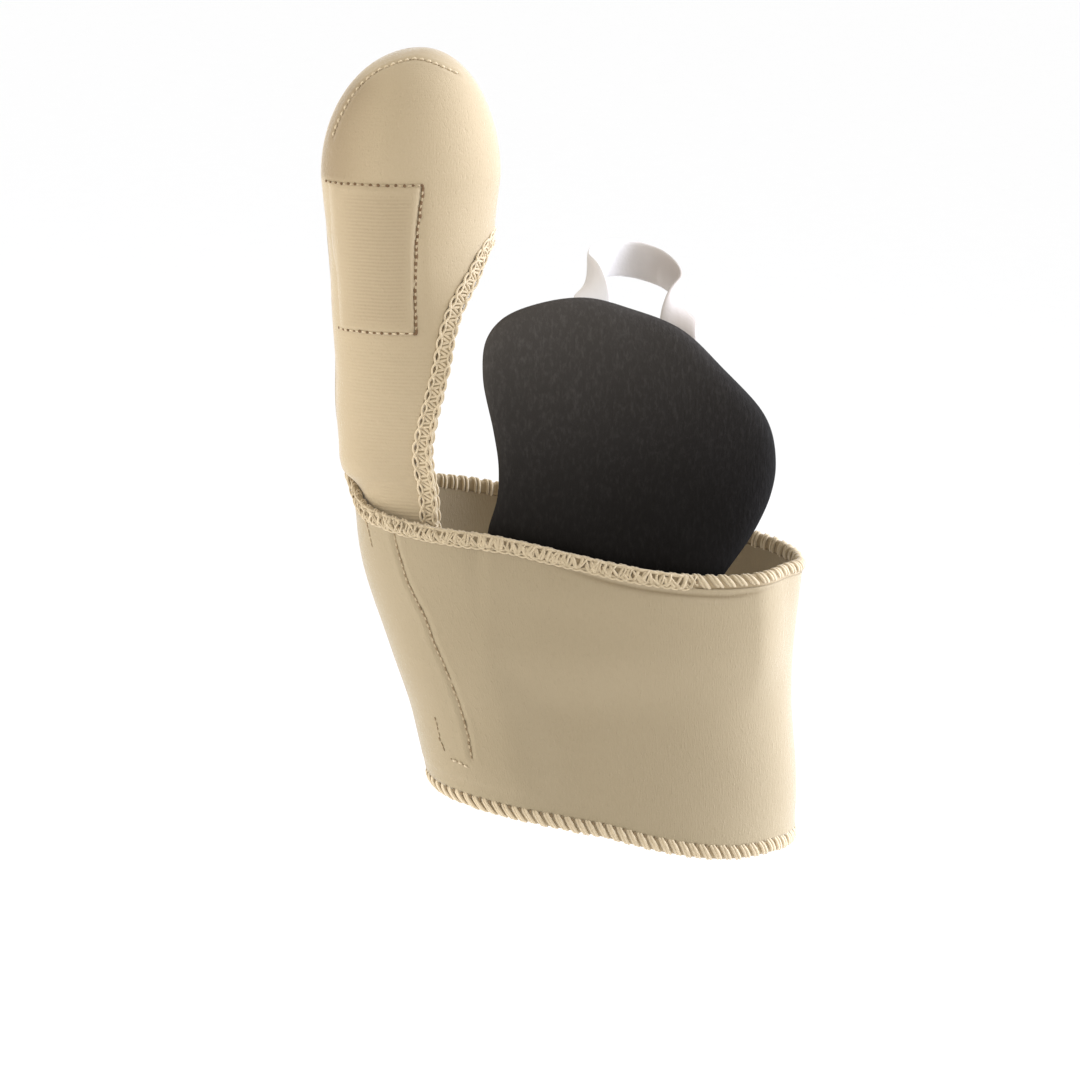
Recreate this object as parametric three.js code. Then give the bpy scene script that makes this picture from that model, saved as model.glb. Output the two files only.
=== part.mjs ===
// Bunion corrector for a left foot, in millimetres, held in its worn shape.
// +Z runs along the foot to the toes, the sole side faces -Y, the big toe is at -X.
// The origin is the middle of the hollow that the midfoot fills.
import * as THREE from 'three';

// Foot hollow, which the cloth and the pad lie on
const footLength = 130;
const footBreadth = 93;
const soleDepth = 18;
const instepDepth = 30;
const soleSquareness = 0.06;
const instepSquareness = 0.03;
const instepWedge = 0.12;

// Big toe hollow
const toeBreadth = 33.8;
const toeDepth = 28;
const toeTipRise = 132.1;
const toeCapHeight = 24.6;
const toeAxisOffset = 38.4;
const toeTipLean = 2.2;

// Toe sleeve
const sleeveWall = 1.8;
const webRise = 96.5;
const tailDepth = 111;
const openingGirth = 51;
const mergeTop = 92;
const mergeBottom = 50;

// Midfoot band
const bandWall = 1.6;
const bandTopRise = 46.5;
const bandTopTilt = 20;
const bandBottomDepth = 34;
const bandBottomTilt = 13.4;
const foldHeight = 0.9;
const foldDrop = 4.5;
const foldWidth = 3.2;

// Overlocked edgings
const edgingWidth = 3;
const edgingRaise = 0.35;
const edgingBareShare = 0.12;

// Toe pocket
const pocketWall = 0.6;
const pocketHeight = 31.5;
const pocketTopRise = 107.2;
const pocketBreadth = 21;
const pocketInset = 5.5;
const pocketTaper = 2.6;

// Forefoot pad
const padWall = 3.6;
const padBreadth = 60;
const padHeight = 72;
const padMiddleOffset = 6.8;
const padMiddleRise = 47.8;

// Toe loop
const loopWall = 1.1;
const loopWidth = 8;
const loopSpan = 18.5;
const loopDepth = 30;
const loopRise = 87.5;
const loopShift = 1.2;

// Gap between neighbouring pieces
const clearance = 0.3;

// Lift of the band over the sleeve's tail and the pad: widths of its slopes, half-breadth of the
// tucked pad as a share of padBreadth, and turns from the medial line that the tail covers
const blendAcross = 10;
const blendDown = 18;
const tuckShare = 0.43;
const tuckShift = 1.6;
const tailCover = 0.98;
const tailFade = 1.4;
const liftEase = 1;

// Cosine of the turn within which the band's fold fades at the foot's sides
const foldFade = 0.35;

// Mesh fineness
const bandColumns = 48;
const bandRows = 11;
const bandCrowding = 1.4;
const sleeveHalfColumns = 13;
const capRows = 7;
const tubeRows = 3;
const openingRows = 24;
const openingCrowding = 1.25;
const openingEdgingSteps = 44;
const pocketColumns = 10;
const pocketRows = 9;
const padSides = 40;
const loopSteps = 30;
const edgingSides = 8;
const openingEdgingSides = 6;
const loopSides = 6;

// Steps used to find directions on a surface, in radians and millimetres
const turnStep = 0.01;
const lengthStep = 0.5;

// Sections of the foot hollow: rise is a share of footLength, medial and lateral are shares
// of footBreadth, sole and instep are shares of their depths
const footSections = [
  { rise: -0.31, medial: -0.317, lateral: 0.43, sole: 1.19, instep: 1.17 },
  { rise: -0.155, medial: -0.334, lateral: 0.434, sole: 1.11, instep: 1.13 },
  { rise: -0.03, medial: -0.371, lateral: 0.425, sole: 1.03, instep: 1.07 },
  { rise: 0.07, medial: -0.414, lateral: 0.426, sole: 1.0, instep: 1.0 },
  { rise: 0.2, medial: -0.475, lateral: 0.448, sole: 0.97, instep: 0.88 },
  { rise: 0.33, medial: -0.51, lateral: 0.466, sole: 0.95, instep: 0.79 },
  { rise: 0.41, medial: -0.556, lateral: 0.47, sole: 0.94, instep: 0.73 },
  { rise: 0.52, medial: -0.568, lateral: 0.468, sole: 0.92, instep: 0.67 },
  { rise: 0.71, medial: -0.57, lateral: 0.43, sole: 0.78, instep: 0.57 },
];

// Sections of the toe hollow: rise is a share of the height from the origin to the cap's base,
// shift and breadth are shares of toeBreadth, sole and instep are shares of toeDepth
const toeSections = [
  { rise: 0.43, shift: 0.07, breadth: 0.83, sole: 0.49, instep: 0.53 },
  { rise: 0.66, shift: 0.025, breadth: 0.89, sole: 0.485, instep: 0.53 },
  { rise: 0.82, shift: 0.005, breadth: 0.9, sole: 0.475, instep: 0.53 },
  { rise: 0.89, shift: -0.005, breadth: 0.925, sole: 0.48, instep: 0.52 },
  { rise: 1.0, shift: 0, breadth: 1, sole: 0.485, instep: 0.515 },
];

// Border of the sleeve's opening on each side of its web: drop is a share of tailDepth,
// reach is a share of openingGirth / 2
const openingStations = [
  { drop: 0, reach: 0 },
  { drop: 0.022, reach: 0.28 },
  { drop: 0.075, reach: 0.49 },
  { drop: 0.125, reach: 0.66 },
  { drop: 0.18, reach: 0.77 },
  { drop: 0.25, reach: 0.85 },
  { drop: 0.34, reach: 0.98 },
  { drop: 0.45, reach: 1.15 },
  { drop: 0.56, reach: 1.22 },
  { drop: 0.72, reach: 1.25 },
  { drop: 0.88, reach: 1.3 },
  { drop: 1, reach: 1.36 },
];

// Rims of the band round the foot: turn is in degrees from the sole's middle towards the
// lateral side, top and bottom are shares of bandTopTilt and bandBottomTilt from the rims'
// medial height
const bandRims = [
  { turn: -90, top: 0, bottom: 0 },
  { turn: -75, top: -0.29, bottom: -0.04 },
  { turn: -60, top: -0.4, bottom: -0.13 },
  { turn: -42, top: -0.5, bottom: -0.28 },
  { turn: -23, top: -0.59, bottom: -0.45 },
  { turn: -5, top: -0.755, bottom: -0.61 },
  { turn: 16, top: -0.94, bottom: -0.86 },
  { turn: 36, top: -1.02, bottom: -1 },
  { turn: 60, top: -0.98, bottom: -0.97 },
  { turn: 90, top: -0.98, bottom: -0.95 },
  { turn: 130, top: -0.86, bottom: -0.88 },
  { turn: 180, top: -0.62, bottom: -0.58 },
  { turn: 230, top: -0.25, bottom: -0.14 },
];

// Outline of the forefoot pad: across and along are shares of padBreadth and padHeight from
// the pad's middle
const padOutline = [
  { across: -0.498, along: 0.274 },
  { across: -0.487, along: 0.378 },
  { across: -0.43, along: 0.44 },
  { across: -0.307, along: 0.483 },
  { across: -0.147, along: 0.499 },
  { across: 0.0, along: 0.468 },
  { across: 0.172, along: 0.408 },
  { across: 0.313, along: 0.294 },
  { across: 0.447, along: 0.161 },
  { across: 0.497, along: 0.025 },
  { across: 0.483, along: -0.075 },
  { across: 0.42, along: -0.192 },
  { across: 0.327, along: -0.304 },
  { across: 0.23, along: -0.43 },
  { across: 0.07, along: -0.495 },
  { across: -0.21, along: -0.497 },
  { across: -0.39, along: -0.45 },
  { across: -0.465, along: -0.33 },
  { across: -0.485, along: -0.19 },
  { across: -0.452, along: -0.08 },
  { across: -0.447, along: 0.01 },
  { across: -0.463, along: 0.12 },
];

// Rings of the pad from its outer middle round the edge to its inner middle: share of the way
// from the middle to the outline, and share of padWall
const padRings = [
  { share: 0.3, wall: 1 },
  { share: 0.6, wall: 1 },
  { share: 0.86, wall: 0.98 },
  { share: 0.95, wall: 0.86 },
  { share: 0.99, wall: 0.6 },
  { share: 1, wall: 0.35 },
  { share: 0.985, wall: 0.08 },
  { share: 0.95, wall: 0 },
  { share: 0.6, wall: 0 },
  { share: 0.3, wall: 0 },
];

// Route of the toe loop: across is a share of loopSpan, along of loopWidth, deep of loopDepth
// from the hollow's sole face, and twist is the strap's quarter turns from facing the sole
const loopStations = [
  { across: -0.46, along: -1.35, deep: 0.02, twist: 0 },
  { across: -0.47, along: -0.75, deep: 0.06, twist: 0 },
  { across: -0.49, along: -0.2, deep: 0.2, twist: 0.55 },
  { across: -0.5, along: 0, deep: 0.42, twist: 1 },
  { across: -0.42, along: 0.1, deep: 0.72, twist: 1 },
  { across: -0.2, along: 0.1, deep: 0.94, twist: 1 },
  { across: 0.05, along: 0, deep: 1, twist: 1 },
  { across: 0.3, along: -0.16, deep: 0.92, twist: 1 },
  { across: 0.47, along: -0.36, deep: 0.68, twist: 1 },
  { across: 0.52, along: -0.58, deep: 0.4, twist: 1 },
  { across: 0.5, along: -0.86, deep: 0.18, twist: 0.5 },
  { across: 0.48, along: -1.4, deep: 0.05, twist: 0 },
  { across: 0.47, along: -2, deep: 0.01, twist: 0 },
];

// Colours, from the cloth, thread, pad and loop
const clothColour = 0xdcc59c;
const threadColour = 0xe6d6b4;
const padColour = 0x2b2927;
const loopColour = 0xf1ece8;

const half = 0.5;
const fullTurn = 2 * Math.PI;
const quarterTurn = Math.PI / 2;
const edgingOuter = sleeveWall + edgingRaise;
const capBase = toeTipRise - toeCapHeight;

function mix(a, b, share) {
  return a + (b - a) * share;
}

function smooth(low, high, value) {
  const share = Math.min(1, Math.max(0, (value - low) / (high - low)));
  return share * share * (3 - 2 * share);
}

// Value of a table's column at a place along its key column, on a smooth curve
function along(table, key, column, place) {
  const slope = (i) => {
    const before = table[Math.max(0, i - 1)];
    const after = table[Math.min(table.length - 1, i + 1)];
    return (after[column] - before[column]) / (after[key] - before[key]);
  };
  let i = 0;
  while (i < table.length - 2 && place > table[i + 1][key]) i += 1;
  const a = table[i];
  const b = table[i + 1];
  const run = b[key] - a[key];
  const t = Math.min(1, Math.max(0, (place - a[key]) / run));
  const rise = b[column] - a[column];
  const left = slope(i) * run;
  const right = slope(i + 1) * run;
  return a[column] + t * (left + t * (3 * rise - 2 * left - right + t * (left + right - 2 * rise)));
}

// Point of the foot hollow, turn being 0 at the sole's middle and positive to the lateral side
function footPoint(turn, z) {
  const rise = z / footLength;
  const medial = along(footSections, 'rise', 'medial', rise) * footBreadth;
  const lateral = along(footSections, 'rise', 'lateral', rise) * footBreadth;
  const sole = along(footSections, 'rise', 'sole', rise) * soleDepth;
  const instep = along(footSections, 'rise', 'instep', rise) * instepDepth;
  const onSole = Math.cos(turn) > 0;
  const squareness = onSole ? soleSquareness : instepSquareness;
  const bulge = 1 + squareness * Math.sin(2 * turn) ** 2;
  const depth = onSole ? sole : instep * (1 - instepWedge * Math.sin(turn));
  const x = (medial + lateral) / 2 + ((lateral - medial) / 2) * Math.sin(turn) * bulge;
  return new THREE.Vector3(x, -depth * Math.cos(turn) * bulge, z);
}

function footNormal(turn, z) {
  return surfaceNormal(footPoint, turn, z, turnStep, lengthStep);
}

// Outward normal of a surface whose first parameter turns from the sole to the lateral side
function surfaceNormal(surface, u, v, stepU, stepV) {
  const across = surface(u + stepU, v).sub(surface(u - stepU, v));
  const up = surface(u, v + stepV).sub(surface(u, v - stepV));
  return across.cross(up).normalize();
}

function offsetFrom(surface, normal, u, v, distance) {
  return surface(u, v).addScaledVector(normal(u, v), distance);
}

// Turn on the foot hollow where it is x across, on the sole side
function soleTurn(x, z) {
  let low = -quarterTurn;
  let high = quarterTurn;
  for (let i = 0; i < 30; i += 1) {
    const middle = (low + high) / 2;
    if (footPoint(middle, z).x < x) low = middle;
    else high = middle;
  }
  return (low + high) / 2;
}

// Turn reached after a girth from the hollow's medial line at height z, from kept tables of
// turns at equal steps of girth
const girthTables = new Map();
function girthTurn(run, z) {
  const key = z.toFixed(3) + Math.sign(run);
  if (!girthTables.has(key)) {
    const way = Math.sign(run) || 1;
    const turns = [-quarterTurn];
    const spin = turnStep;
    let left = lengthStep;
    let last = footPoint(-quarterTurn, z);
    for (let turn = -quarterTurn; turns.length * lengthStep < footBreadth; turn += way * spin) {
      const next = footPoint(turn + way * spin, z);
      const length = next.distanceTo(last);
      if (length >= left) {
        turns.push(turn + (way * spin * left) / length);
        left += lengthStep;
      }
      left -= length;
      last = next;
    }
    girthTables.set(key, turns);
  }
  const turns = girthTables.get(key);
  const place = Math.abs(run) / lengthStep;
  const i = Math.min(turns.length - 2, Math.floor(place));
  return mix(turns[i], turns[i + 1], place - i);
}

// Half of the toe hollow's girth, the same at every height, so that it measures the sleeve
const halfGirth = (Math.PI * (toeBreadth + toeDepth)) / 4;

// Point of the toe hollow: run is the girth from the lateral line, positive on the sole side,
// and down is measured from the cap's base, negative over the cap
function toePoint(run, down) {
  const tilt = Math.max(0, -down / toeCapHeight);
  const z = down > 0 ? capBase - down : capBase + toeCapHeight * Math.sin(tilt);
  const rise = z / capBase;
  const shift = along(toeSections, 'rise', 'shift', rise) * toeBreadth;
  const breadth = along(toeSections, 'rise', 'breadth', rise) * toeBreadth;
  const sole = along(toeSections, 'rise', 'sole', rise) * toeDepth;
  const instep = along(toeSections, 'rise', 'instep', rise) * toeDepth;
  const turn = (Math.PI * run) / halfGirth;
  const round = Math.cos(tilt);
  const depth = Math.sin(turn) > 0 ? -sole : -instep;
  const x = -toeAxisOffset + shift + toeTipLean * (1 - round) + (breadth / 2) * Math.cos(turn) * round;
  return new THREE.Vector3(x, depth * Math.sin(turn) * round, z);
}

// Point of the sleeve's inner face, from the toe hollow down to the foot hollow
function sleevePoint(girth, down) {
  const run = THREE.MathUtils.euclideanModulo(girth + halfGirth, 2 * halfGirth) - halfGirth;
  const toe = toePoint(run, down);
  const share = smooth(mergeTop, mergeBottom, toe.z);
  if (share === 0) return toe;
  const side = Math.sign(run) || 1;
  const foot = footPoint(girthTurn(side * (halfGirth - Math.abs(run)), toe.z), toe.z);
  return toe.lerp(foot, share);
}

// Outward normal of the sleeve, straight up at the pole of its cap
function sleeveNormal(run, down) {
  const pole = -quarterTurn * toeCapHeight;
  if (down < pole + lengthStep) return new THREE.Vector3(0, 0, 1);
  const across = sleevePoint(run + lengthStep, down).sub(sleevePoint(run - lengthStep, down));
  const fall = sleevePoint(run, down + lengthStep).sub(sleevePoint(run, down - lengthStep));
  return across.cross(fall).normalize();
}

// Border of the sleeve's opening as a curve in girth and fall, from the sole side's tail up to
// the web and down the instep side
function openingCurve() {
  const points = [];
  const place = (station, side) => {
    const reach = side * station.reach * openingGirth * half;
    return new THREE.Vector3(reach, capBase - webRise + station.drop * tailDepth, 0);
  };
  for (const station of openingStations.slice(1).reverse()) points.push(place(station, 1));
  for (const station of openingStations) points.push(place(station, -1));
  return new THREE.CatmullRomCurve3(points, false, 'centripetal');
}

const border = openingCurve();

// Height of a band rim at a turn
function rimHeight(turn, column) {
  const degrees = THREE.MathUtils.radToDeg(turn);
  const lowest = bandRims[0].turn;
  const wrapped = lowest + THREE.MathUtils.euclideanModulo(degrees - lowest, 360);
  const last = bandRims[bandRims.length - 2];
  const table = [
    { ...last, turn: last.turn - 360 },
    { ...bandRims[bandRims.length - 1], turn: bandRims[bandRims.length - 1].turn - 360 },
    ...bandRims,
    { ...bandRims[0], turn: bandRims[0].turn + 360 },
    { ...bandRims[1], turn: bandRims[1].turn + 360 },
  ];
  const share = along(table, 'turn', column, wrapped);
  if (column === 'top') return bandTopRise + share * bandTopTilt;
  return -bandBottomDepth + bandBottomTilt + share * bandBottomTilt;
}

const padMiddle = { x: padMiddleOffset, z: padMiddleRise };

// Edge of the pad in front view
const padEdge = new THREE.CatmullRomCurve3(
  padOutline.map((row) => new THREE.Vector3(
    padMiddle.x + row.across * padBreadth, 0, padMiddle.z + row.along * padHeight)),
  true, 'centripetal');

// Room behind the pad's upper half for the loop's strap
function padStand(z) {
  return (loopWall + 2 * clearance) * smooth(padMiddleRise, padMiddleRise + padHeight / 6, z);
}

// The larger of two lengths, eased where they meet
function softMax(a, b) {
  const apart = Math.max(0, liftEase - Math.abs(a - b)) / liftEase;
  return Math.max(a, b) + (apart * apart * liftEase) / 4;
}

// How far what lies under the band pushes it off the hollow
function bandLift(turn, z) {
  const point = footPoint(turn, z);
  const tailEnd = webRise - tailDepth;
  const halfTurn = Math.PI;
  const round = THREE.MathUtils.euclideanModulo(turn + quarterTurn, fullTurn);
  const fromMedial = halfTurn - Math.abs(round - halfTurn);
  const tailSide = smooth(tailFade, tailCover, fromMedial);
  const tail = (edgingOuter + clearance) * tailSide * smooth(tailEnd - blendDown, tailEnd, z);
  if (Math.cos(turn) <= 0) return tail;
  const padLow = padMiddle.z - padHeight / 2;
  const tuckHalf = tuckShare * padBreadth;
  const fromPad = Math.abs(footPoint(turn, z).x - padMiddle.x + tuckShift);
  const padSide = smooth(tuckHalf + blendAcross, tuckHalf, fromPad);
  const pad = (padWall + clearance) * padSide * smooth(padLow - blendDown, padLow, z);
  return softMax(tail, pad);
}

// Grid of points to a closed body: rows of equal length, wrapped across and down
function closedBody(rows, wrapRows) {
  const columns = rows[0].length;
  const positions = [];
  const indices = [];
  for (const row of rows) for (const point of row) positions.push(point.x, point.y, point.z);
  const last = wrapRows ? rows.length : rows.length - 1;
  for (let i = 0; i < last; i += 1) {
    for (let j = 0; j < columns; j += 1) {
      const a = i * columns + j;
      const b = i * columns + ((j + 1) % columns);
      const c = ((i + 1) % rows.length) * columns + ((j + 1) % columns);
      const d = ((i + 1) % rows.length) * columns + j;
      indices.push(a, b, c, a, c, d);
    }
  }
  if (!wrapRows) {
    for (const [row, turned] of [[0, true], [rows.length - 1, false]]) {
      const middle = positions.length / 3;
      const centre = new THREE.Vector3();
      for (const point of rows[row]) centre.addScaledVector(point, 1 / columns);
      positions.push(centre.x, centre.y, centre.z);
      for (let j = 0; j < columns; j += 1) {
        const a = row * columns + j;
        const b = row * columns + ((j + 1) % columns);
        indices.push(...(turned ? [middle, b, a] : [middle, a, b]));
      }
    }
  }
  return bodyFrom(positions, indices);
}

function bodyFrom(positions, indices) {
  const geometry = new THREE.BufferGeometry();
  geometry.setAttribute('position', new THREE.Float32BufferAttribute(positions, 3));
  geometry.setIndex(indices);
  if (signedVolume(geometry) < 0) {
    const turned = [];
    for (let i = 0; i < indices.length; i += 3) turned.push(indices[i], indices[i + 2], indices[i + 1]);
    geometry.setIndex(turned);
  }
  geometry.computeVertexNormals();
  return geometry;
}

function signedVolume(geometry) {
  const position = geometry.getAttribute('position');
  const index = geometry.getIndex();
  const corners = [new THREE.Vector3(), new THREE.Vector3(), new THREE.Vector3()];
  let total = 0;
  for (let i = 0; i < index.count; i += 3) {
    corners.forEach((corner, k) => corner.fromBufferAttribute(position, index.getX(i + k)));
    total += corners[0].dot(corners[1].cross(corners[2])) / 6;
  }
  return total;
}

// The wide band: columns round the foot, each one down its outer face and up its inner face
function bandGeometry() {
  const rows = [];
  for (let i = 0; i < bandColumns; i += 1) {
    const turn = (fullTurn * i) / bandColumns;
    const top = rimHeight(turn, 'top') - edgingWidth - clearance;
    const bottom = rimHeight(turn, 'bottom') + edgingWidth + clearance;
    const column = [];
    const place = (k, wall) => {
      const share = (k / (bandRows - 1)) ** bandCrowding;
      const z = mix(top, bottom, share);
      const fold = foldHeight * Math.exp(-(((top - z - foldDrop) / foldWidth) ** 2)) * soleShare(turn);
      return bandPoint(turn, z, wall + fold);
    };
    for (let k = 0; k < bandRows; k += 1) column.push(place(k, bandWall));
    for (let k = bandRows - 1; k >= 0; k -= 1) column.push(place(k, 0));
    rows.push(column);
  }
  return closedBody(rows, true);
}

// 1 on the sole side, fading to 0 past the foot's sides
function soleShare(turn) {
  return smooth(-foldFade, foldFade, Math.cos(turn));
}

function bandPoint(turn, z, wall) {
  return offsetFrom(footPoint, footNormal, turn, z, clearance + bandLift(turn, z) + wall);
}

// Rounded section of an edging: across its width and through its wall, both from -1 to 1
function roundSection(sides) {
  const section = [];
  for (let i = 0; i < sides; i += 1) {
    const angle = (fullTurn * (i + half)) / sides;
    section.push({ across: Math.cos(angle) / Math.cos(Math.PI / sides), through: Math.sin(angle) });
  }
  return section;
}

// Overlocked border of a band rim, way being 1 above the cloth and -1 below it
function bandEdgingGeometry(column) {
  const rows = [];
  const section = roundSection(edgingSides);
  const way = column === 'top' ? -1 : 1;
  for (let i = 0; i < bandColumns; i += 1) {
    const turn = (fullTurn * i) / bandColumns;
    const middle = rimHeight(turn, column) + way * edgingWidth * half;
    rows.push(section.map(({ across, through }) => {
      const z = middle + across * edgingWidth * half;
      const wall = bandWall * half + through * (bandWall * half + edgingRaise);
      return bandPoint(turn, z, wall);
    }));
  }
  return closedBody(rows, true);
}

// The toe sleeve: a thimble above the web, open below it along the border
function sleeveGeometry() {
  const stations = [];
  for (let i = 1; i <= capRows; i += 1) {
    stations.push({ down: -toeCapHeight * quarterTurn * (1 - i / capRows), gap: 0 });
  }
  const fall = capBase - webRise;
  for (let i = 1; i < tubeRows; i += 1) stations.push({ down: (fall * i) / tubeRows, gap: 0 });
  for (let i = 0; i <= openingRows; i += 1) {
    const share = (i / openingRows) ** openingCrowding;
    const point = border.getPoint(half + half * share);
    stations.push({ down: point.y, gap: Math.max(0, -point.x) });
  }
  const columns = 2 * sleeveHalfColumns;
  const positions = [];
  const indices = [];
  const faces = [sleeveWall, 0];
  const add = (point) => positions.push(point.x, point.y, point.z) / 3 - 1;
  const lowest = -toeCapHeight * quarterTurn;
  const poles = faces.map((wall) => add(offsetFrom(sleevePoint, sleeveNormal, 0, lowest, wall)));
  const grid = faces.map((wall) => stations.map(({ down, gap }) => {
    const row = [];
    for (let j = 0; j <= columns; j += 1) {
      if (gap === 0 && j === columns) {
        row.push(row[0]);
        continue;
      }
      const side = j < sleeveHalfColumns ? 1 : -1;
      const share = Math.abs(1 - j / sleeveHalfColumns);
      const run = side * (halfGirth - share * (halfGirth - gap));
      row.push(add(offsetFrom(sleevePoint, sleeveNormal, run, down, wall)));
    }
    return row;
  }));
  grid.forEach((rows, face) => {
    const quad = (a, b, c, d) => indices.push(...(face ? [a, c, b, a, d, c] : [a, b, c, a, c, d]));
    for (let j = 0; j < columns; j += 1) {
      const [a, b] = [rows[0][j], rows[0][j + 1]];
      indices.push(...(face ? [poles[face], b, a] : [poles[face], a, b]));
      for (let i = 1; i < rows.length; i += 1) {
        quad(rows[i - 1][j + 1], rows[i - 1][j], rows[i][j], rows[i][j + 1]);
      }
    }
  });
  const wallQuad = (a, b, c, d) => indices.push(a, b, c, a, c, d);
  const [outer, inner] = grid;
  const firstOpen = stations.findIndex(({ gap }) => gap > 0) - 1;
  for (let i = firstOpen + 1; i < stations.length; i += 1) {
    wallQuad(outer[i - 1][0], inner[i - 1][0], inner[i][0], outer[i][0]);
    wallQuad(inner[i - 1][columns], outer[i - 1][columns], outer[i][columns], inner[i][columns]);
  }
  const end = stations.length - 1;
  for (let j = 0; j < columns; j += 1) {
    wallQuad(outer[end][j], inner[end][j], inner[end][j + 1], outer[end][j + 1]);
  }
  return bodyFrom(positions, indices);
}

// Overlocked border of the sleeve's opening, from inside the band round the web and back
function openingEdgingGeometry() {
  const rows = [];
  const section = roundSection(openingEdgingSides);
  for (let i = 0; i <= openingEdgingSteps; i += 1) {
    const share = mix(edgingBareShare, 1 - edgingBareShare, i / openingEdgingSteps);
    const point = border.getPoint(share);
    const ahead = border.getTangent(share);
    const inward = new THREE.Vector3(-ahead.y, ahead.x, 0);
    if (inward.x * Math.sign(point.x) > 0 || (Math.abs(point.x) < 1 && inward.y < 0)) inward.negate();
    rows.push(section.map(({ across, through }) => {
      const reach = clearance + edgingWidth * half * (1 + across);
      const wall = sleeveWall * half + through * (sleeveWall * half + edgingRaise);
      const run = point.x + inward.x * reach;
      return offsetFrom(sleevePoint, sleeveNormal, run, point.y + inward.y * reach, wall);
    }));
  }
  return closedBody(rows, false);
}

// The stitched patch on the sole side of the toe, laid on the sleeve
function pocketGeometry() {
  const outer = [];
  const inner = [];
  const top = capBase - pocketTopRise;
  for (let i = 0; i <= pocketRows; i += 1) {
    for (let j = 0; j <= pocketColumns; j += 1) {
      const down = top + (pocketHeight * i) / pocketRows;
      const breadth = pocketBreadth - (pocketTaper * i) / pocketRows;
      const run = halfGirth - pocketInset - (breadth * j) / pocketColumns;
      const base = sleeveWall + clearance;
      outer.push(offsetFrom(sleevePoint, sleeveNormal, run, down, base + pocketWall));
      inner.push(offsetFrom(sleevePoint, sleeveNormal, run, down, base));
    }
  }
  return slabBody(outer, inner, pocketRows, pocketColumns);
}

// Closed slab between two grids of points
function slabBody(outer, inner, rows, columns) {
  const positions = [];
  const indices = [];
  for (const point of [...outer, ...inner]) positions.push(point.x, point.y, point.z);
  const across = columns + 1;
  const lower = outer.length;
  const quad = (a, b, c, d) => indices.push(a, b, c, a, c, d);
  for (let i = 0; i < rows; i += 1) {
    for (let j = 0; j < columns; j += 1) {
      const a = i * across + j;
      quad(a, a + 1, a + across + 1, a + across);
      quad(lower + a, lower + a + across, lower + a + across + 1, lower + a + 1);
    }
  }
  const rim = [];
  for (let j = 0; j < columns; j += 1) rim.push(j);
  for (let i = 0; i < rows; i += 1) rim.push(i * across + columns);
  for (let j = columns; j > 0; j -= 1) rim.push(rows * across + j);
  for (let i = rows; i > 0; i -= 1) rim.push(i * across);
  rim.forEach((a, k) => {
    const b = rim[(k + 1) % rim.length];
    quad(b, a, lower + a, lower + b);
  });
  return bodyFrom(positions, indices);
}

// The pad: rings inside its outline, domed to a rounded edge
function padGeometry() {
  const rows = padRings.map(({ share, wall }) => {
    const row = [];
    for (let i = 0; i < padSides; i += 1) {
      const edge = padEdge.getPoint(i / padSides);
      const x = mix(padMiddle.x, edge.x, share);
      const z = mix(padMiddle.z, edge.z, share);
      row.push(padPoint(x, z, padWall * wall));
    }
    return row;
  });
  return closedBody(rows, false);
}

function padPoint(x, z, wall) {
  return offsetFrom(footPoint, footNormal, soleTurn(x, z), z, padStand(z) + wall);
}

// The strap round the third toe, its ends behind the pad
function loopGeometry() {
  const route = new THREE.CatmullRomCurve3(
    loopStations.map((row) => {
      const x = padMiddle.x + loopShift + row.across * loopSpan;
      const z = loopRise + row.along * loopWidth;
      const face = footPoint(soleTurn(x, z), z).y;
      return new THREE.Vector3(x, face - loopWall * half - clearance / 2 + row.deep * loopDepth, z);
    }), false, 'centripetal');
  const rows = [];
  for (let i = 0; i <= loopSteps; i += 1) {
    const share = i / loopSteps;
    const point = route.getPoint(share);
    const ahead = route.getTangent(share);
    const station = share * (loopStations.length - 1);
    const k = Math.min(loopStations.length - 2, Math.floor(station));
    const twist = mix(loopStations[k].twist, loopStations[k + 1].twist, station - k) * quarterTurn;
    const side = share < half ? 1 : -1;
    const wide = new THREE.Vector3(Math.cos(twist) * side, 0, Math.sin(twist));
    wide.addScaledVector(ahead, -wide.dot(ahead)).normalize();
    const thick = ahead.clone().cross(wide).normalize();
    rows.push(roundSection(loopSides).map(({ across, through }) => point.clone()
      .addScaledVector(wide, across * loopWidth * half)
      .addScaledVector(thick, through * loopWall * half)));
  }
  return closedBody(rows, false);
}

function piece(name, geometry, colour, roughness) {
  const material = new THREE.MeshStandardMaterial({ color: colour, roughness, metalness: 0 });
  const mesh = new THREE.Mesh(geometry, material);
  mesh.name = name;
  return mesh;
}

const corrector = new THREE.Group();
corrector.add(
  piece('toe_sleeve', sleeveGeometry(), clothColour, 0.85),
  piece('toe_opening_edging', openingEdgingGeometry(), threadColour, 0.8),
  piece('toe_pocket', pocketGeometry(), clothColour, 0.85),
  piece('midfoot_band', bandGeometry(), clothColour, 0.85),
  piece('band_top_edging', bandEdgingGeometry('top'), threadColour, 0.8),
  piece('band_bottom_edging', bandEdgingGeometry('bottom'), threadColour, 0.8),
  piece('forefoot_pad', padGeometry(), padColour, 0.75),
  piece('toe_loop', loopGeometry(), loopColour, 0.6),
);

export default corrector;
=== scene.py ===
"""Bunion corrector for a left foot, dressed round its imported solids. Sizes are in millimetres."""

import math
from collections import namedtuple

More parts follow.
